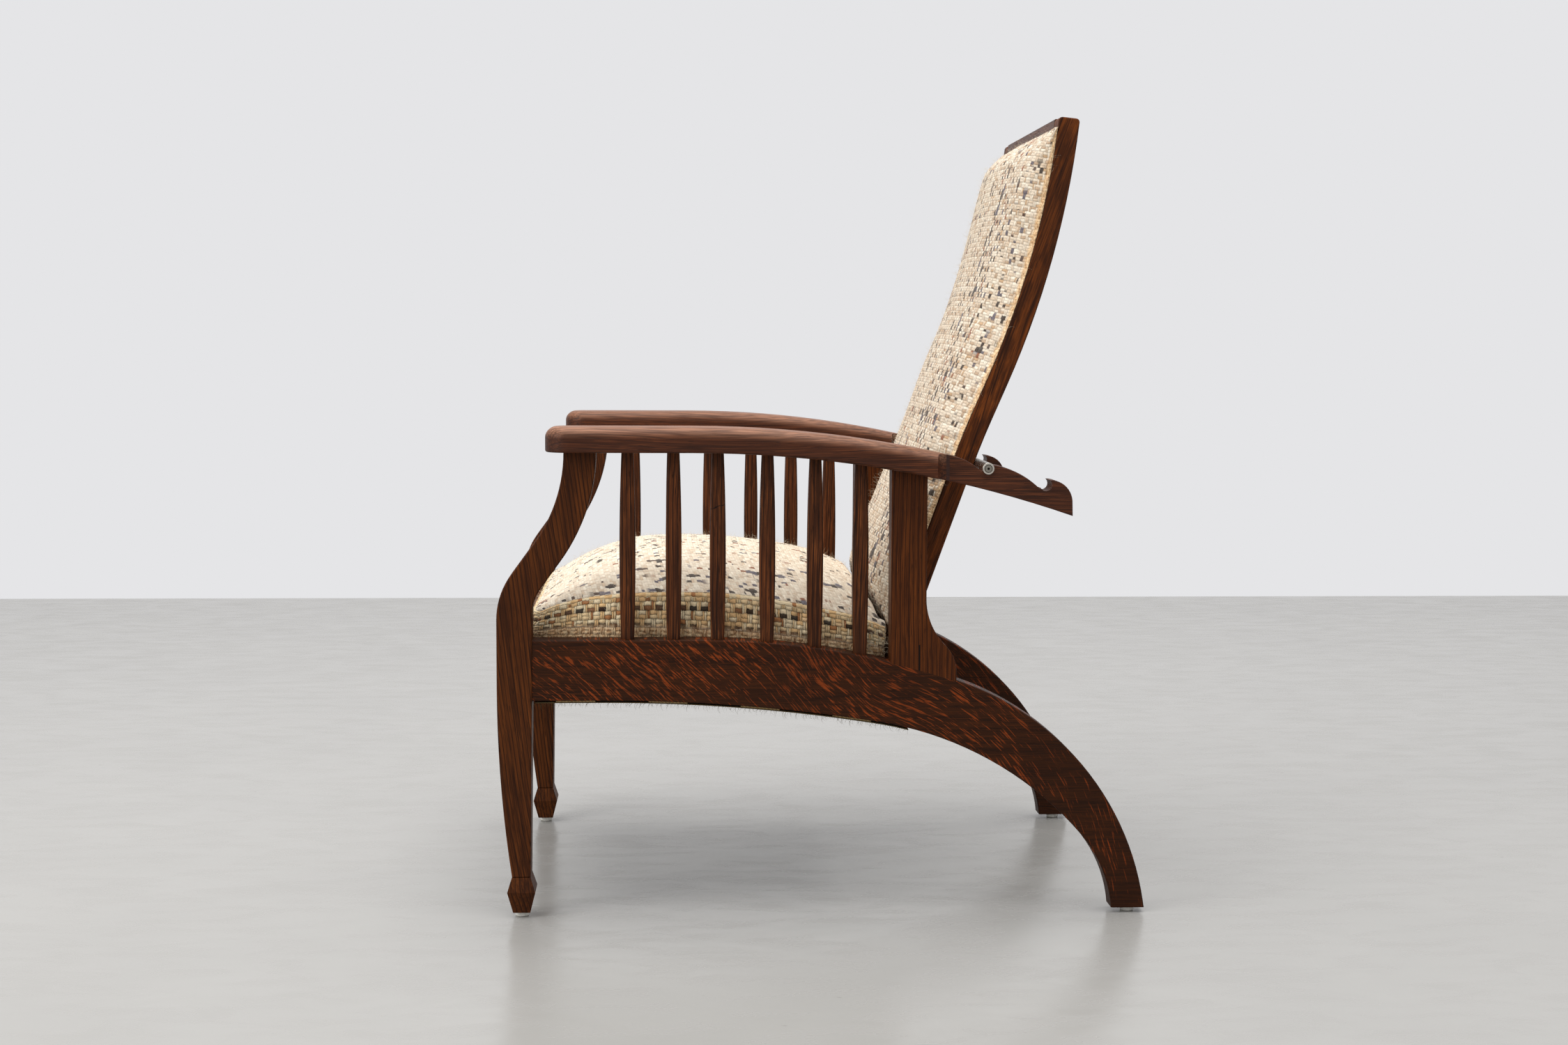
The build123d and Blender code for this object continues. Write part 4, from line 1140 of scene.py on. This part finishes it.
def closePad(points, places):
    # the underside lies on the stiles and steps forward between them, over the webbing
    place = places[0]
    rows = place.shape[0]
    middle = (points[place[:, 0]] + points[place[:, -1]]) / 2
    slope = np.gradient(middle, axis=0)
    slope /= np.linalg.norm(slope, axis=1, keepdims=True)
    forward = np.stack([np.zeros(rows), -slope[:, 2], slope[:, 1]], 1)
    inner = []
    for side, step in ((-1, 0), (-1, 1), (1, 1), (1, 0)):
        line = middle + forward * (back["innerForward"] * step)
        line[:, 0] = side * back["innerHalf"]
        inner.append(line[1:-1])
    start = len(points)
    points = np.vstack([points, *inner])
    strips = [start + np.arange(rows - 2) + i * (rows - 2) for i in range(4)]
    lines = np.stack([place[1:-1, 0], *strips, place[1:-1, -1]], 1)
    ends = [[*place[0][::-1], *lines[0]], [*place[-1], *lines[-1][::-1]]]
    return points, gridQuads(lines) + ends


def padSeams(places):
    return [edgeLoop(places[0])]


def padWeave(number, down, along):
    # no fibres at the foot, and many along the sides, where the felt colour that comes with them
    # is also painted shade
    inward = np.minimum(along, back["cells"][0] - along)
    fluff = np.where(inward < 2, back["edgeFluffAndShade"], back["fluff"])
    return (along + back["weaveStart"], down), weave["relief"], fluff * (down >= back["bareRows"])


def makePad():
    distances, full = padRows()
    half, least = back["section"], back["least"]
    whole = [(-x, forward) for x, forward in half] + half[-2::-1]
    section = smoothLine(whole, back["cells"][0] + 1)
    lumps = smoothLine(back["lumps"], 60)
    lump = np.interp(distances, lumps[:, 0], lumps[:, 1])[:, None]
    forward = section[:, 1][None] * full[:, None] * back["start"]
    lump = 1 + (lump - 1) * np.clip(forward / back["lumpy"], 0, 1)
    forward = least + (forward - least).clip(0) * lump
    grid = backPoints(section[:, 0][None], forward, distances)
    inside = grid[back["cells"][1] // 2 - 1, back["cells"][0] // 2] + back["inside"]
    how = (padSeams, back["furthest"], padWeave)
    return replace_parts(makeCover("backCover", [grid], closePad, inside, *how), "back_pad")


backCover = makePad()
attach(backCover, "back")
print("back pad made")


# Straps and thin cloths are closed slabs
def slab(lines, thickness, lift):
    # lines of edge points (across, behind, up) on the lower face
    low = np.array(lines, float)
    points = np.vstack([low.reshape(-1, 3), (low + np.array(lift) * thickness).reshape(-1, 3)])
    points[:, 1] = at(points[:, 1])
    count = low.shape[0] * low.shape[1]
    place = np.arange(count).reshape(low.shape[:2])
    faces = gridQuads(place)
    faces += [[n + count for n in reversed(quad)] for quad in faces]
    loop = edgeLoop(place)
    sides = zip(loop, np.roll(loop, -1))
    return points, faces + [[a, b, b + count, a + count] for a, b in sides]


class Grower(NodeTree):
    # a Geometry Nodes tree whose inputs are named
    def __init__(self, name, inputs):
        super().__init__(bpy.data.node_groups.new(name, "GeometryNodeTree"))
        face = self.tree.interface
        face.new_socket("Mesh", in_out="OUTPUT", socket_type="NodeSocketGeometry")
        self.codes = {}
        for label, kind in inputs.items():
            made = face.new_socket(label, in_out="INPUT", socket_type="NodeSocket" + kind)
            self.codes[label] = made.identifier
        entry = self.tree.nodes.new("NodeGroupInput")
        self.given = {label: Signal(self, entry.outputs[label]) for label in inputs}

    def piece(self, given):
        # the shape of an object that is one of the inputs
        settings = {"transform_space": "ORIGINAL"}
        return self.add("GeometryNodeObjectInfo", settings, {"Object": given}, 4)

    def named(self, name, kind):
        return self.add("GeometryNodeInputNamedAttribute", {"data_type": kind}, {"Name": name})

    def chance(self, low, high, seed):
        # a random number between two
        sockets = {2: low, 3: high, "Seed": seed}
        return self.add("FunctionNodeRandomValue", {"data_type": "FLOAT"}, sockets, 1)

    def tilts(self, tilt, around, seed):
        # a random turn about three axes, the last one between its own limits
        low = self.add("ShaderNodeCombineXYZ", {}, {0: tilt * -1.0, 1: tilt * -1.0, 2: around[0]})
        high = self.add("ShaderNodeCombineXYZ", {}, {0: tilt, 1: tilt, 2: around[1]})
        sockets = {0: low, 1: high, "Seed": seed}
        return self.add("FunctionNodeRandomValue", {"data_type": "FLOAT_VECTOR"}, sockets)

    def ends(self, points, piece, turns, sizes, material):
        # a piece on every point, as real geometry with its material
        sockets = {"Points": points, "Instance": piece, "Rotation": turns, "Scale": sizes}
        placed = self.add("GeometryNodeInstanceOnPoints", {}, sockets)
        real = self.add("GeometryNodeRealizeInstances", {}, {0: placed})
        done = self.add("GeometryNodeSetMaterial", {}, {"Geometry": real, "Material": material})
        self.add("NodeGroupOutput", {}, {0: done}, None)


def grownMesh(name, grower, values, mesh):
    # runs a tree on a mesh and gives the result as a plain mesh of its own
    holder = newObject(name + "Start", mesh)
    modifier = holder.modifiers.new("grow", "NODES")
    modifier.node_group = grower.tree
    for label, value in values.items():
        modifier[grower.codes[label]] = value
    graph = bpy.context.evaluated_depsgraph_get()
    grown = bpy.data.meshes.new_from_object(holder.evaluated_get(graph))
    for spare in (holder, values["Piece"]):
        bpy.data.objects.remove(spare)
    return newObject(name, grown)


# Jute straps carry the springs and the back's pad, and thin cloths close the seat and the back
webbing = {
    "width": 0.050,
    "thickness": 0.002,
    "half": 0.290,  # from the middle to the ends of the straps under the side rails
    "along": (-0.195, 0.195, 7),  # first and last place across, and how many
    "alongReach": (0.013, 0.5286),  # behind
    "across": (0.100, 0.455, 4),
    "backHalf": 0.225,
    "backUp": (0.4555, 0.922, 5),
    "backCourse": (0, 0.75, 300),  # the part of the back's line that they are looked up on
    "parts": (24, 40),  # lines in a strap across and along
    "bow": 0.002,  # the rails' curve adds this to the length
    "slopeStep": 0.01,
}
thinCloth = {
    "thickness": 0.0012,
    "underDrop": 0.0035,  # the dust cloth's lower face under the rails
    "legHalf": 0.2587,  # half its width between the front legs
    "legReach": (0.0453, 0.048),
    "springReach": (0.0456, 0.470),
    "springHalf": 0.244,
    "springDrop": 0.0015,
    "springSlope": 1.002,  # its length for each length behind
    "liningHalf": 0.1957,
    "liningForward": 0.003,
    "liningReach": (0.0603, 0.6555),  # up the back
    "dustParts": (13, 30),  # points across, and along
    "springParts": (13, 24),
    "liningParts": (9, 50),
}
upwards = (0, 0, 1)


def rowGrower():
    # one piece on every point, turned as the point says, with some chance in its tilt and size
    grower = Grower("pieceRow", {
        "Geometry": "Geometry", "Piece": "Object", "Tilt": "Float", "Least": "Float",
        "Most": "Float", "Cloth": "Material",
    })
    points, piece, tilt, least, most, cloth = grower.given.values()
    tilted = grower.tilts(tilt, (tilt * -1.0, tilt), 3)
    turns = {0: grower.named("turn", "FLOAT_VECTOR"), 1: tilted}
    turned = grower.add("ShaderNodeVectorMath", {"operation": "ADD"}, turns)
    grower.ends(points, grower.piece(piece), turned, grower.chance(least, most, 5), cloth)
    return grower


def rowOf(name, piece, spots, turns, finish, tilt=0.0, sizes=(1.0, 1.0)):
    # copies of a piece at spots (across, behind, up), each turned about X
    start = meshOf(name + "Start", [(x, at(behind), up) for x, behind, up in spots], [])
    attribute = start.attributes.new("turn", "FLOAT_VECTOR", "POINT")
    for item, turn in zip(attribute.data, turns):
        item.vector = (turn, 0, 0)
    values = {"Piece": piece, "Tilt": tilt, "Least": sizes[0], "Most": sizes[1], "Cloth": finish}
    return grownMesh(name, pieceRow, values, start)


def strapsOf(name, lines, spots, turns, node, body):
    # straps side by side for one node, as long as it is between what carries them
    points, faces = slab(lines, webbing["thickness"], upwards)
    strap = makeObject("strap", points, faces, cloths["jute"])
    made = rowOf(name, strap, spots, turns, cloths["jute"])
    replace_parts(made, node)
    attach(made, body)


def acrossLines(reach):
    # a strap across the chair, its lower face at the origin
    half, middle = webbing["width"] / 2, chair["depth"] / 2
    places = np.linspace(-reach, reach, webbing["parts"][0])
    return [[(x, side + middle, 0) for side in (-half, half)] for x in places]


def makeSeatStraps():
    first, last = webbing["alongReach"]
    half, step = webbing["width"] / 2, webbing["slopeStep"]
    places = np.linspace(first, last, webbing["parts"][1])
    lines = [[(side, b, underside(b)) for side in (-half, half)] for b in places]
    spots = [(x, chair["depth"] / 2, 0) for x in np.linspace(*webbing["along"])]
    strapsOf(
        "seatStrapsAlong", lines, spots, [0] * len(spots),
        "seat_webbing_along", "frame",
    )

    places = np.linspace(*webbing["across"])
    spots = [(0, b, underside(b) - webbing["thickness"]) for b in places]
    rises = [underside(b + step) - underside(b - step) for b in places]
    strapsOf(
        "seatStrapsAcross", acrossLines(webbing["half"]), spots,
        [math.atan(rise / (2 * step)) for rise in rises],
        "seat_webbing_across", "frame",
    )


def makeBackStraps():
    course = backCourse(back["depth"], np.linspace(*webbing["backCourse"]))
    places = np.linspace(*webbing["backUp"])
    behind, turns = [np.interp(places, course[:, 1], course[:, i]) for i in (0, 2)]
    strapsOf(
        "backStraps", acrossLines(webbing["backHalf"]),
        [(0, b, up) for b, up in zip(behind, places)], turns,
        "back_webbing", "back",
    )


def sheetOf(name, half, columns, course, lift, finish, node, body):
    # a thin cloth from its half width, behind and up along its middle
    across = np.linspace(-1, 1, columns)
    lines = [[(x * width, b, z) for x in across] for width, (b, z) in zip(half, course)]
    points, faces = slab(lines, thinCloth["thickness"], lift)
    made = makeObject(name, points, faces, cloths[finish])
    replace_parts(made, node)
    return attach(made, body)


def makeDustCloth():
    # as wide as the rails behind the front legs, and narrower between them
    look = thinCloth
    first, last = webbing["alongReach"]
    near, far = look["legReach"]
    columns, rows = look["dustParts"]
    places = (first, near, *np.linspace(far, last, rows))
    half = [look["legHalf"] if b <= near else webbing["half"] for b in places]
    course = [(b, underside(b) - look["underDrop"]) for b in places]
    made = sheetOf(
        "dustCloth", half, columns, course, upwards, "dust", "seat_dust_cloth", "frame",
    )
    flat = (webbing["half"] * 2, last - first + webbing["bow"])
    cutOut = 2 * (webbing["half"] - look["legHalf"]) * (far - first)
    return made, flat, flat[0] * flat[1] - cutOut


def makeSpringCloth():
    look = thinCloth
    first, last = look["springReach"]
    (high, low), (front, rear) = seat["under"], seat["underReach"]
    slope = (low - high) / (rear - front)
    columns, rows = look["springParts"]
    places = np.linspace(first, last, rows)
    course = [(b, high + slope * (b - front) - look["springDrop"]) for b in places]
    half = [look["springHalf"]] * rows
    made = sheetOf(
        "springCloth", half, columns, course, upwards, "hessian", "spring_hessian", "frame",
    )


def makeLining():
    look = thinCloth
    columns, rows = look["liningParts"]
    distances = np.linspace(*look["liningReach"], rows)
    course = backCourse(look["liningForward"], distances)
    headings = course[:, 2]
    lift = np.stack([headings * 0, -np.sin(headings), np.cos(headings)], 1)[:, None]
    half = [look["liningHalf"]] * rows
    line = course[:, :2]
    made = sheetOf("backLining", half, columns, line, lift, "lining", "back_lining", "back")


pieceRow = rowGrower()
makeSeatStraps()
makeBackStraps()
dustCloth, dustFlat, dustArea = makeDustCloth()
makeSpringCloth()
makeLining()
print("straps and thin cloths made")


# Wool fibres that stand up from the covers, and loose threads
hairShape = {
    "steps": 4,
    "bend": 1.5,  # radians from root to tip
    "sway": (0.25, 3),  # sideways, and how far that runs through a wave
    "taper": 0.75,
}
fibre = {
    "length": 0.0065,
    "radius": 0.00007,
    "seed": 7,
    "tilt": 1.25,  # most lean from upright
    "sizes": (0.4, 1.5),
    "seatDensity": 34000.0,  # fibres for a square metre where "fluff" is 1
    "backDensity": 30000.0,
}
fringe = {  # the dust cloth's side edges
    "length": 0.006,
    "radius": 0.00016,
    "tilt": 0.6,
    "sizes": (0.3, 1.3),
    "spacing": 0.0011,
    "jitter": 0.0012,
    "seed": 4,
}
fray = {  # the seat's rear corners, where the cover is coming apart
    "length": 0.011,
    "radius": 0.00032,
    "tilt": 1.4,
    "sizes": (0.3, 1.2),
    "corner": (0.255, 0.482, 0.350),
    "spread": (0.004, 0.017, 0.015),
    "gather": 0.6,  # of the spread, where most of them are
    "count": 260,
    "seed": 6,
}


def makeHair(look, length=1.0):
    # a curved three-sided hair that starts at the origin
    points, faces, steps = [], [], hairShape["steps"]
    sway, wave = hairShape["sway"]
    for i in range(steps + 1):
        share = i / steps
        angle = share * hairShape["bend"]
        sideways = sway * math.sin(share * wave)
        middle = np.array([1 - math.cos(angle), sideways, math.sin(angle)])
        size = look["radius"] / look["length"] * (1 - hairShape["taper"] * share)
        for turn in np.arange(3) * 2 * math.pi / 3:
            around = np.array([math.cos(turn), math.sin(turn), 0])
            points.append(length * (middle + size * around))
    for i in range(0, steps * 3, 3):
        for k, n in ((0, 1), (1, 2), (2, 0)):
            faces.append([i + k, i + n, i + 3 + n, i + 3 + k])
    faces += [[2, 1, 0], [steps * 3, steps * 3 + 1, steps * 3 + 2]]
    return newObject("hair", meshOf("hair", points, faces))


def fibreGrower():
    grower = Grower("woolFibres", {
        "Geometry": "Geometry", "Piece": "Object", "Length": "Float", "Density": "Float",
        "Tilt": "Float", "Least": "Float", "Most": "Float", "Seed": "Int", "Wool": "Material",
    })
    mesh, piece, length, density, tilt, least, most, seed, wool = grower.given.values()
    sockets = {"Mesh": mesh, "Density": grower.named("fluff", "FLOAT") * density, "Seed": seed}
    way = {"distribute_method": "RANDOM"}
    spots = grower.add("GeometryNodeDistributePointsOnFaces", way, sockets)
    sockets = {0: grower.other(spots, "Rotation"), 1: grower.tilts(tilt, (0.0, 6.283), seed)}
    turned = grower.add("FunctionNodeRotateRotation", {"rotation_space": "LOCAL"}, sockets)
    sizes = grower.chance(least, most, 11) * length
    grower.ends(spots, grower.piece(piece), turned, sizes, wool)
    return grower


def makeFibres(name, cover, density, body):
    least, most = fibre["sizes"]
    values = {
        "Piece": makeHair(fibre), "Length": fibre["length"], "Density": density,
        "Tilt": fibre["tilt"], "Least": least, "Most": most, "Seed": fibre["seed"],
        "Wool": cloths["wool"],
    }
    made = grownMesh(name, fibreTree, values, cover.data.copy())
    print(f"  {name}: {len(made.data.polygons)} faces")
    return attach(made, body)


def threadsOf(name, look, spots, turns, finish):
    hair = makeHair(look, look["length"])
    made = rowOf(name, hair, spots, turns, cloths[finish], look["tilt"], look["sizes"])
    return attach(made, "frame")


def makeFringe():
    # loose threads that hang from the dust cloth's side edges
    look = fringe
    chance = np.random.default_rng(look["seed"])
    first, last = thinCloth["legReach"][1], webbing["alongReach"][1]
    spots, turns = [], []
    for side in (-1, 1):
        for b in np.arange(first, last, look["spacing"]):
            b = b + chance.uniform(-1, 1) * look["jitter"]
            height = underside(b) - thinCloth["underDrop"] + thinCloth["thickness"] / 2
            spots.append((side * webbing["half"], b, height))
            turns.append(math.pi + chance.uniform(-1, 1) * look["tilt"])
    made = threadsOf("dustFringe", look, spots, turns, "dust")


def makeFray():
    look = fray
    chance = np.random.default_rng(look["seed"])
    spots, turns = [], []
    for side in (-1,) * look["count"] + (1,) * look["count"]:
        away = chance.normal(0, look["gather"], 3).clip(-1, 1) * look["spread"]
        across, behind, up = look["corner"] + away
        spots.append((side * across, behind, up))
        turns.append(chance.uniform(-1, 1) * look["tilt"])
    threadsOf("seatFray", look, spots, turns, "wool")


fibreTree = fibreGrower()
seatFibres = makeFibres("seatFibres", seatCover, fibre["seatDensity"], "frame")
makeFibres("backFibres", backCover, fibre["backDensity"], "back")
makeFringe()
makeFray()
squashPoint = (0, at(seat["front"]), seat["squashUp"])
for piece in (seatCover, seatFibres):
    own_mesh(piece)
print("fibres and fringe made")


# Studio: a pale floor that ends behind the chair, a white surround, and soft light from above
studio = {
    "floorEdge": -3.15,
    "floorReach": 7.0,
    "floor": paint(170, 168, 164),
    "darker": 0.9,  # of the floor's tone, where it is mottled and trowelled
    "specks": paint(120, 116, 110),
    "trowelScale": (26, 9),  # across the chair and along it
    "speckScale": (120, 45),
    "shares": {"mottle": 0.4, "trowelled": 0.45, "specks": 0.6},
    "surround": paint(229, 229, 231),
    "light": 0.56,  # the surround's light on the chair
    "lamps": [  # place, aim, width, power in watts
        ((0.3, -0.2, 5.0), (0.0, 0.0, 0.0), 6.0, 268.0),
        ((2.6, -3.9, 2.3), (0.0, 0.0, 0.6), 2.6, 90.0),
    ],
}
view = {  # where the photograph was taken from: radians from looking along -X, down, and rolled
    "place": (3.0597, -0.2021, 0.7500),
    "turn": 0.053607,
    "fall": 0.085692,
    "roll": 0.0044476,
    "lens": 50.0,
    "sensor": 36.0,
}


def makeFloor():
    edge, far = studio["floorEdge"], studio["floorReach"]
    points = [(edge, -far, 0), (far, -far, 0), (far, far, 0), (edge, far, 0)]
    finish = Finish("studioFloor")
    place = finish.place()
    x, y, spare = finish.split(place)
    darker = tuple(value * studio["darker"] for value in studio["floor"][:3]) + (1.0,)
    shares, (wide, long) = studio["shares"], studio["trowelScale"]
    mottle = finish.noise(place, 3, 4, 0.6)
    trowelled = finish.drawn(x * wide, y * long, 0, 4, 0.65, 0.6)
    wide, long = studio["speckScale"]
    specks = finish.drawn(x * wide, y * long, 2, 1)
    colour = finish.layered(
        studio["floor"],
        (mottle.between(0.3, 0.7) * shares["mottle"], darker),
        (trowelled.between(0.38, 0.72) * shares["trowelled"], darker),
        (specks.between(0.80, 0.84) * shares["specks"], studio["specks"]),
    )
    material = finish.done(
        Base_Color=colour,
        Roughness=trowelled.between(0.2, 0.8, 0.18, 0.32),
        Specular_IOR_Level=0.45,
    )
    floor = newObject("floor", meshOf("floor", points, [(0, 1, 2, 3)]))
    floor.data.materials.append(material)


def makeSurround():
    world = bpy.data.worlds.new("surround")
    world.use_nodes = True
    scene.world = world
    world.node_tree.nodes.clear()
    tree = NodeTree(world.node_tree)
    seen = path = tree.add("ShaderNodeLightPath")
    for name in ("Is Glossy Ray", "Is Transmission Ray"):
        seen = seen.larger(tree.other(path, name))
    shown = tree.add("ShaderNodeBackground", {}, {"Color": studio["surround"], "Strength": 1.0})
    lit = {"Color": (1, 1, 1, 1), "Strength": studio["light"]}
    mixed = {0: seen, 1: tree.add("ShaderNodeBackground", {}, lit), 2: shown}
    surface = {"Surface": tree.add("ShaderNodeMixShader", {}, mixed)}
    tree.add("ShaderNodeOutputWorld", {}, surface, None)


def makeLamps():
    for number, (place, aim, width, power) in enumerate(studio["lamps"]):
        lamp = bpy.data.lights.new(f"lamp{number}", "AREA")
        lamp.shape, lamp.size, lamp.energy = "DISK", width, power
        holder = newObject(lamp.name, lamp)
        holder.location = place
        holder.rotation_euler = (Vector(aim) - Vector(place)).to_track_quat("-Z", "Y").to_euler()


def makeCamera():
    lens = bpy.data.cameras.new("camera")
    lens.lens, lens.sensor_width = view["lens"], view["sensor"]
    camera = newObject("camera", lens)
    turn = Matrix.Rotation(math.pi / 2 - view["turn"], 4, "Z")
    fall = Matrix.Rotation(math.pi / 2 - view["fall"], 4, "X")
    aim = turn @ fall @ Matrix.Rotation(view["roll"], 4, "Z")
    camera.matrix_world = Matrix.Translation(view["place"]) @ aim
    scene.camera = camera


makeFloor()
makeSurround()
makeLamps()
makeCamera()
scene.view_settings.view_transform = "Standard"
bpy.context.view_layer.update()
print("floor, lamps and camera placed")
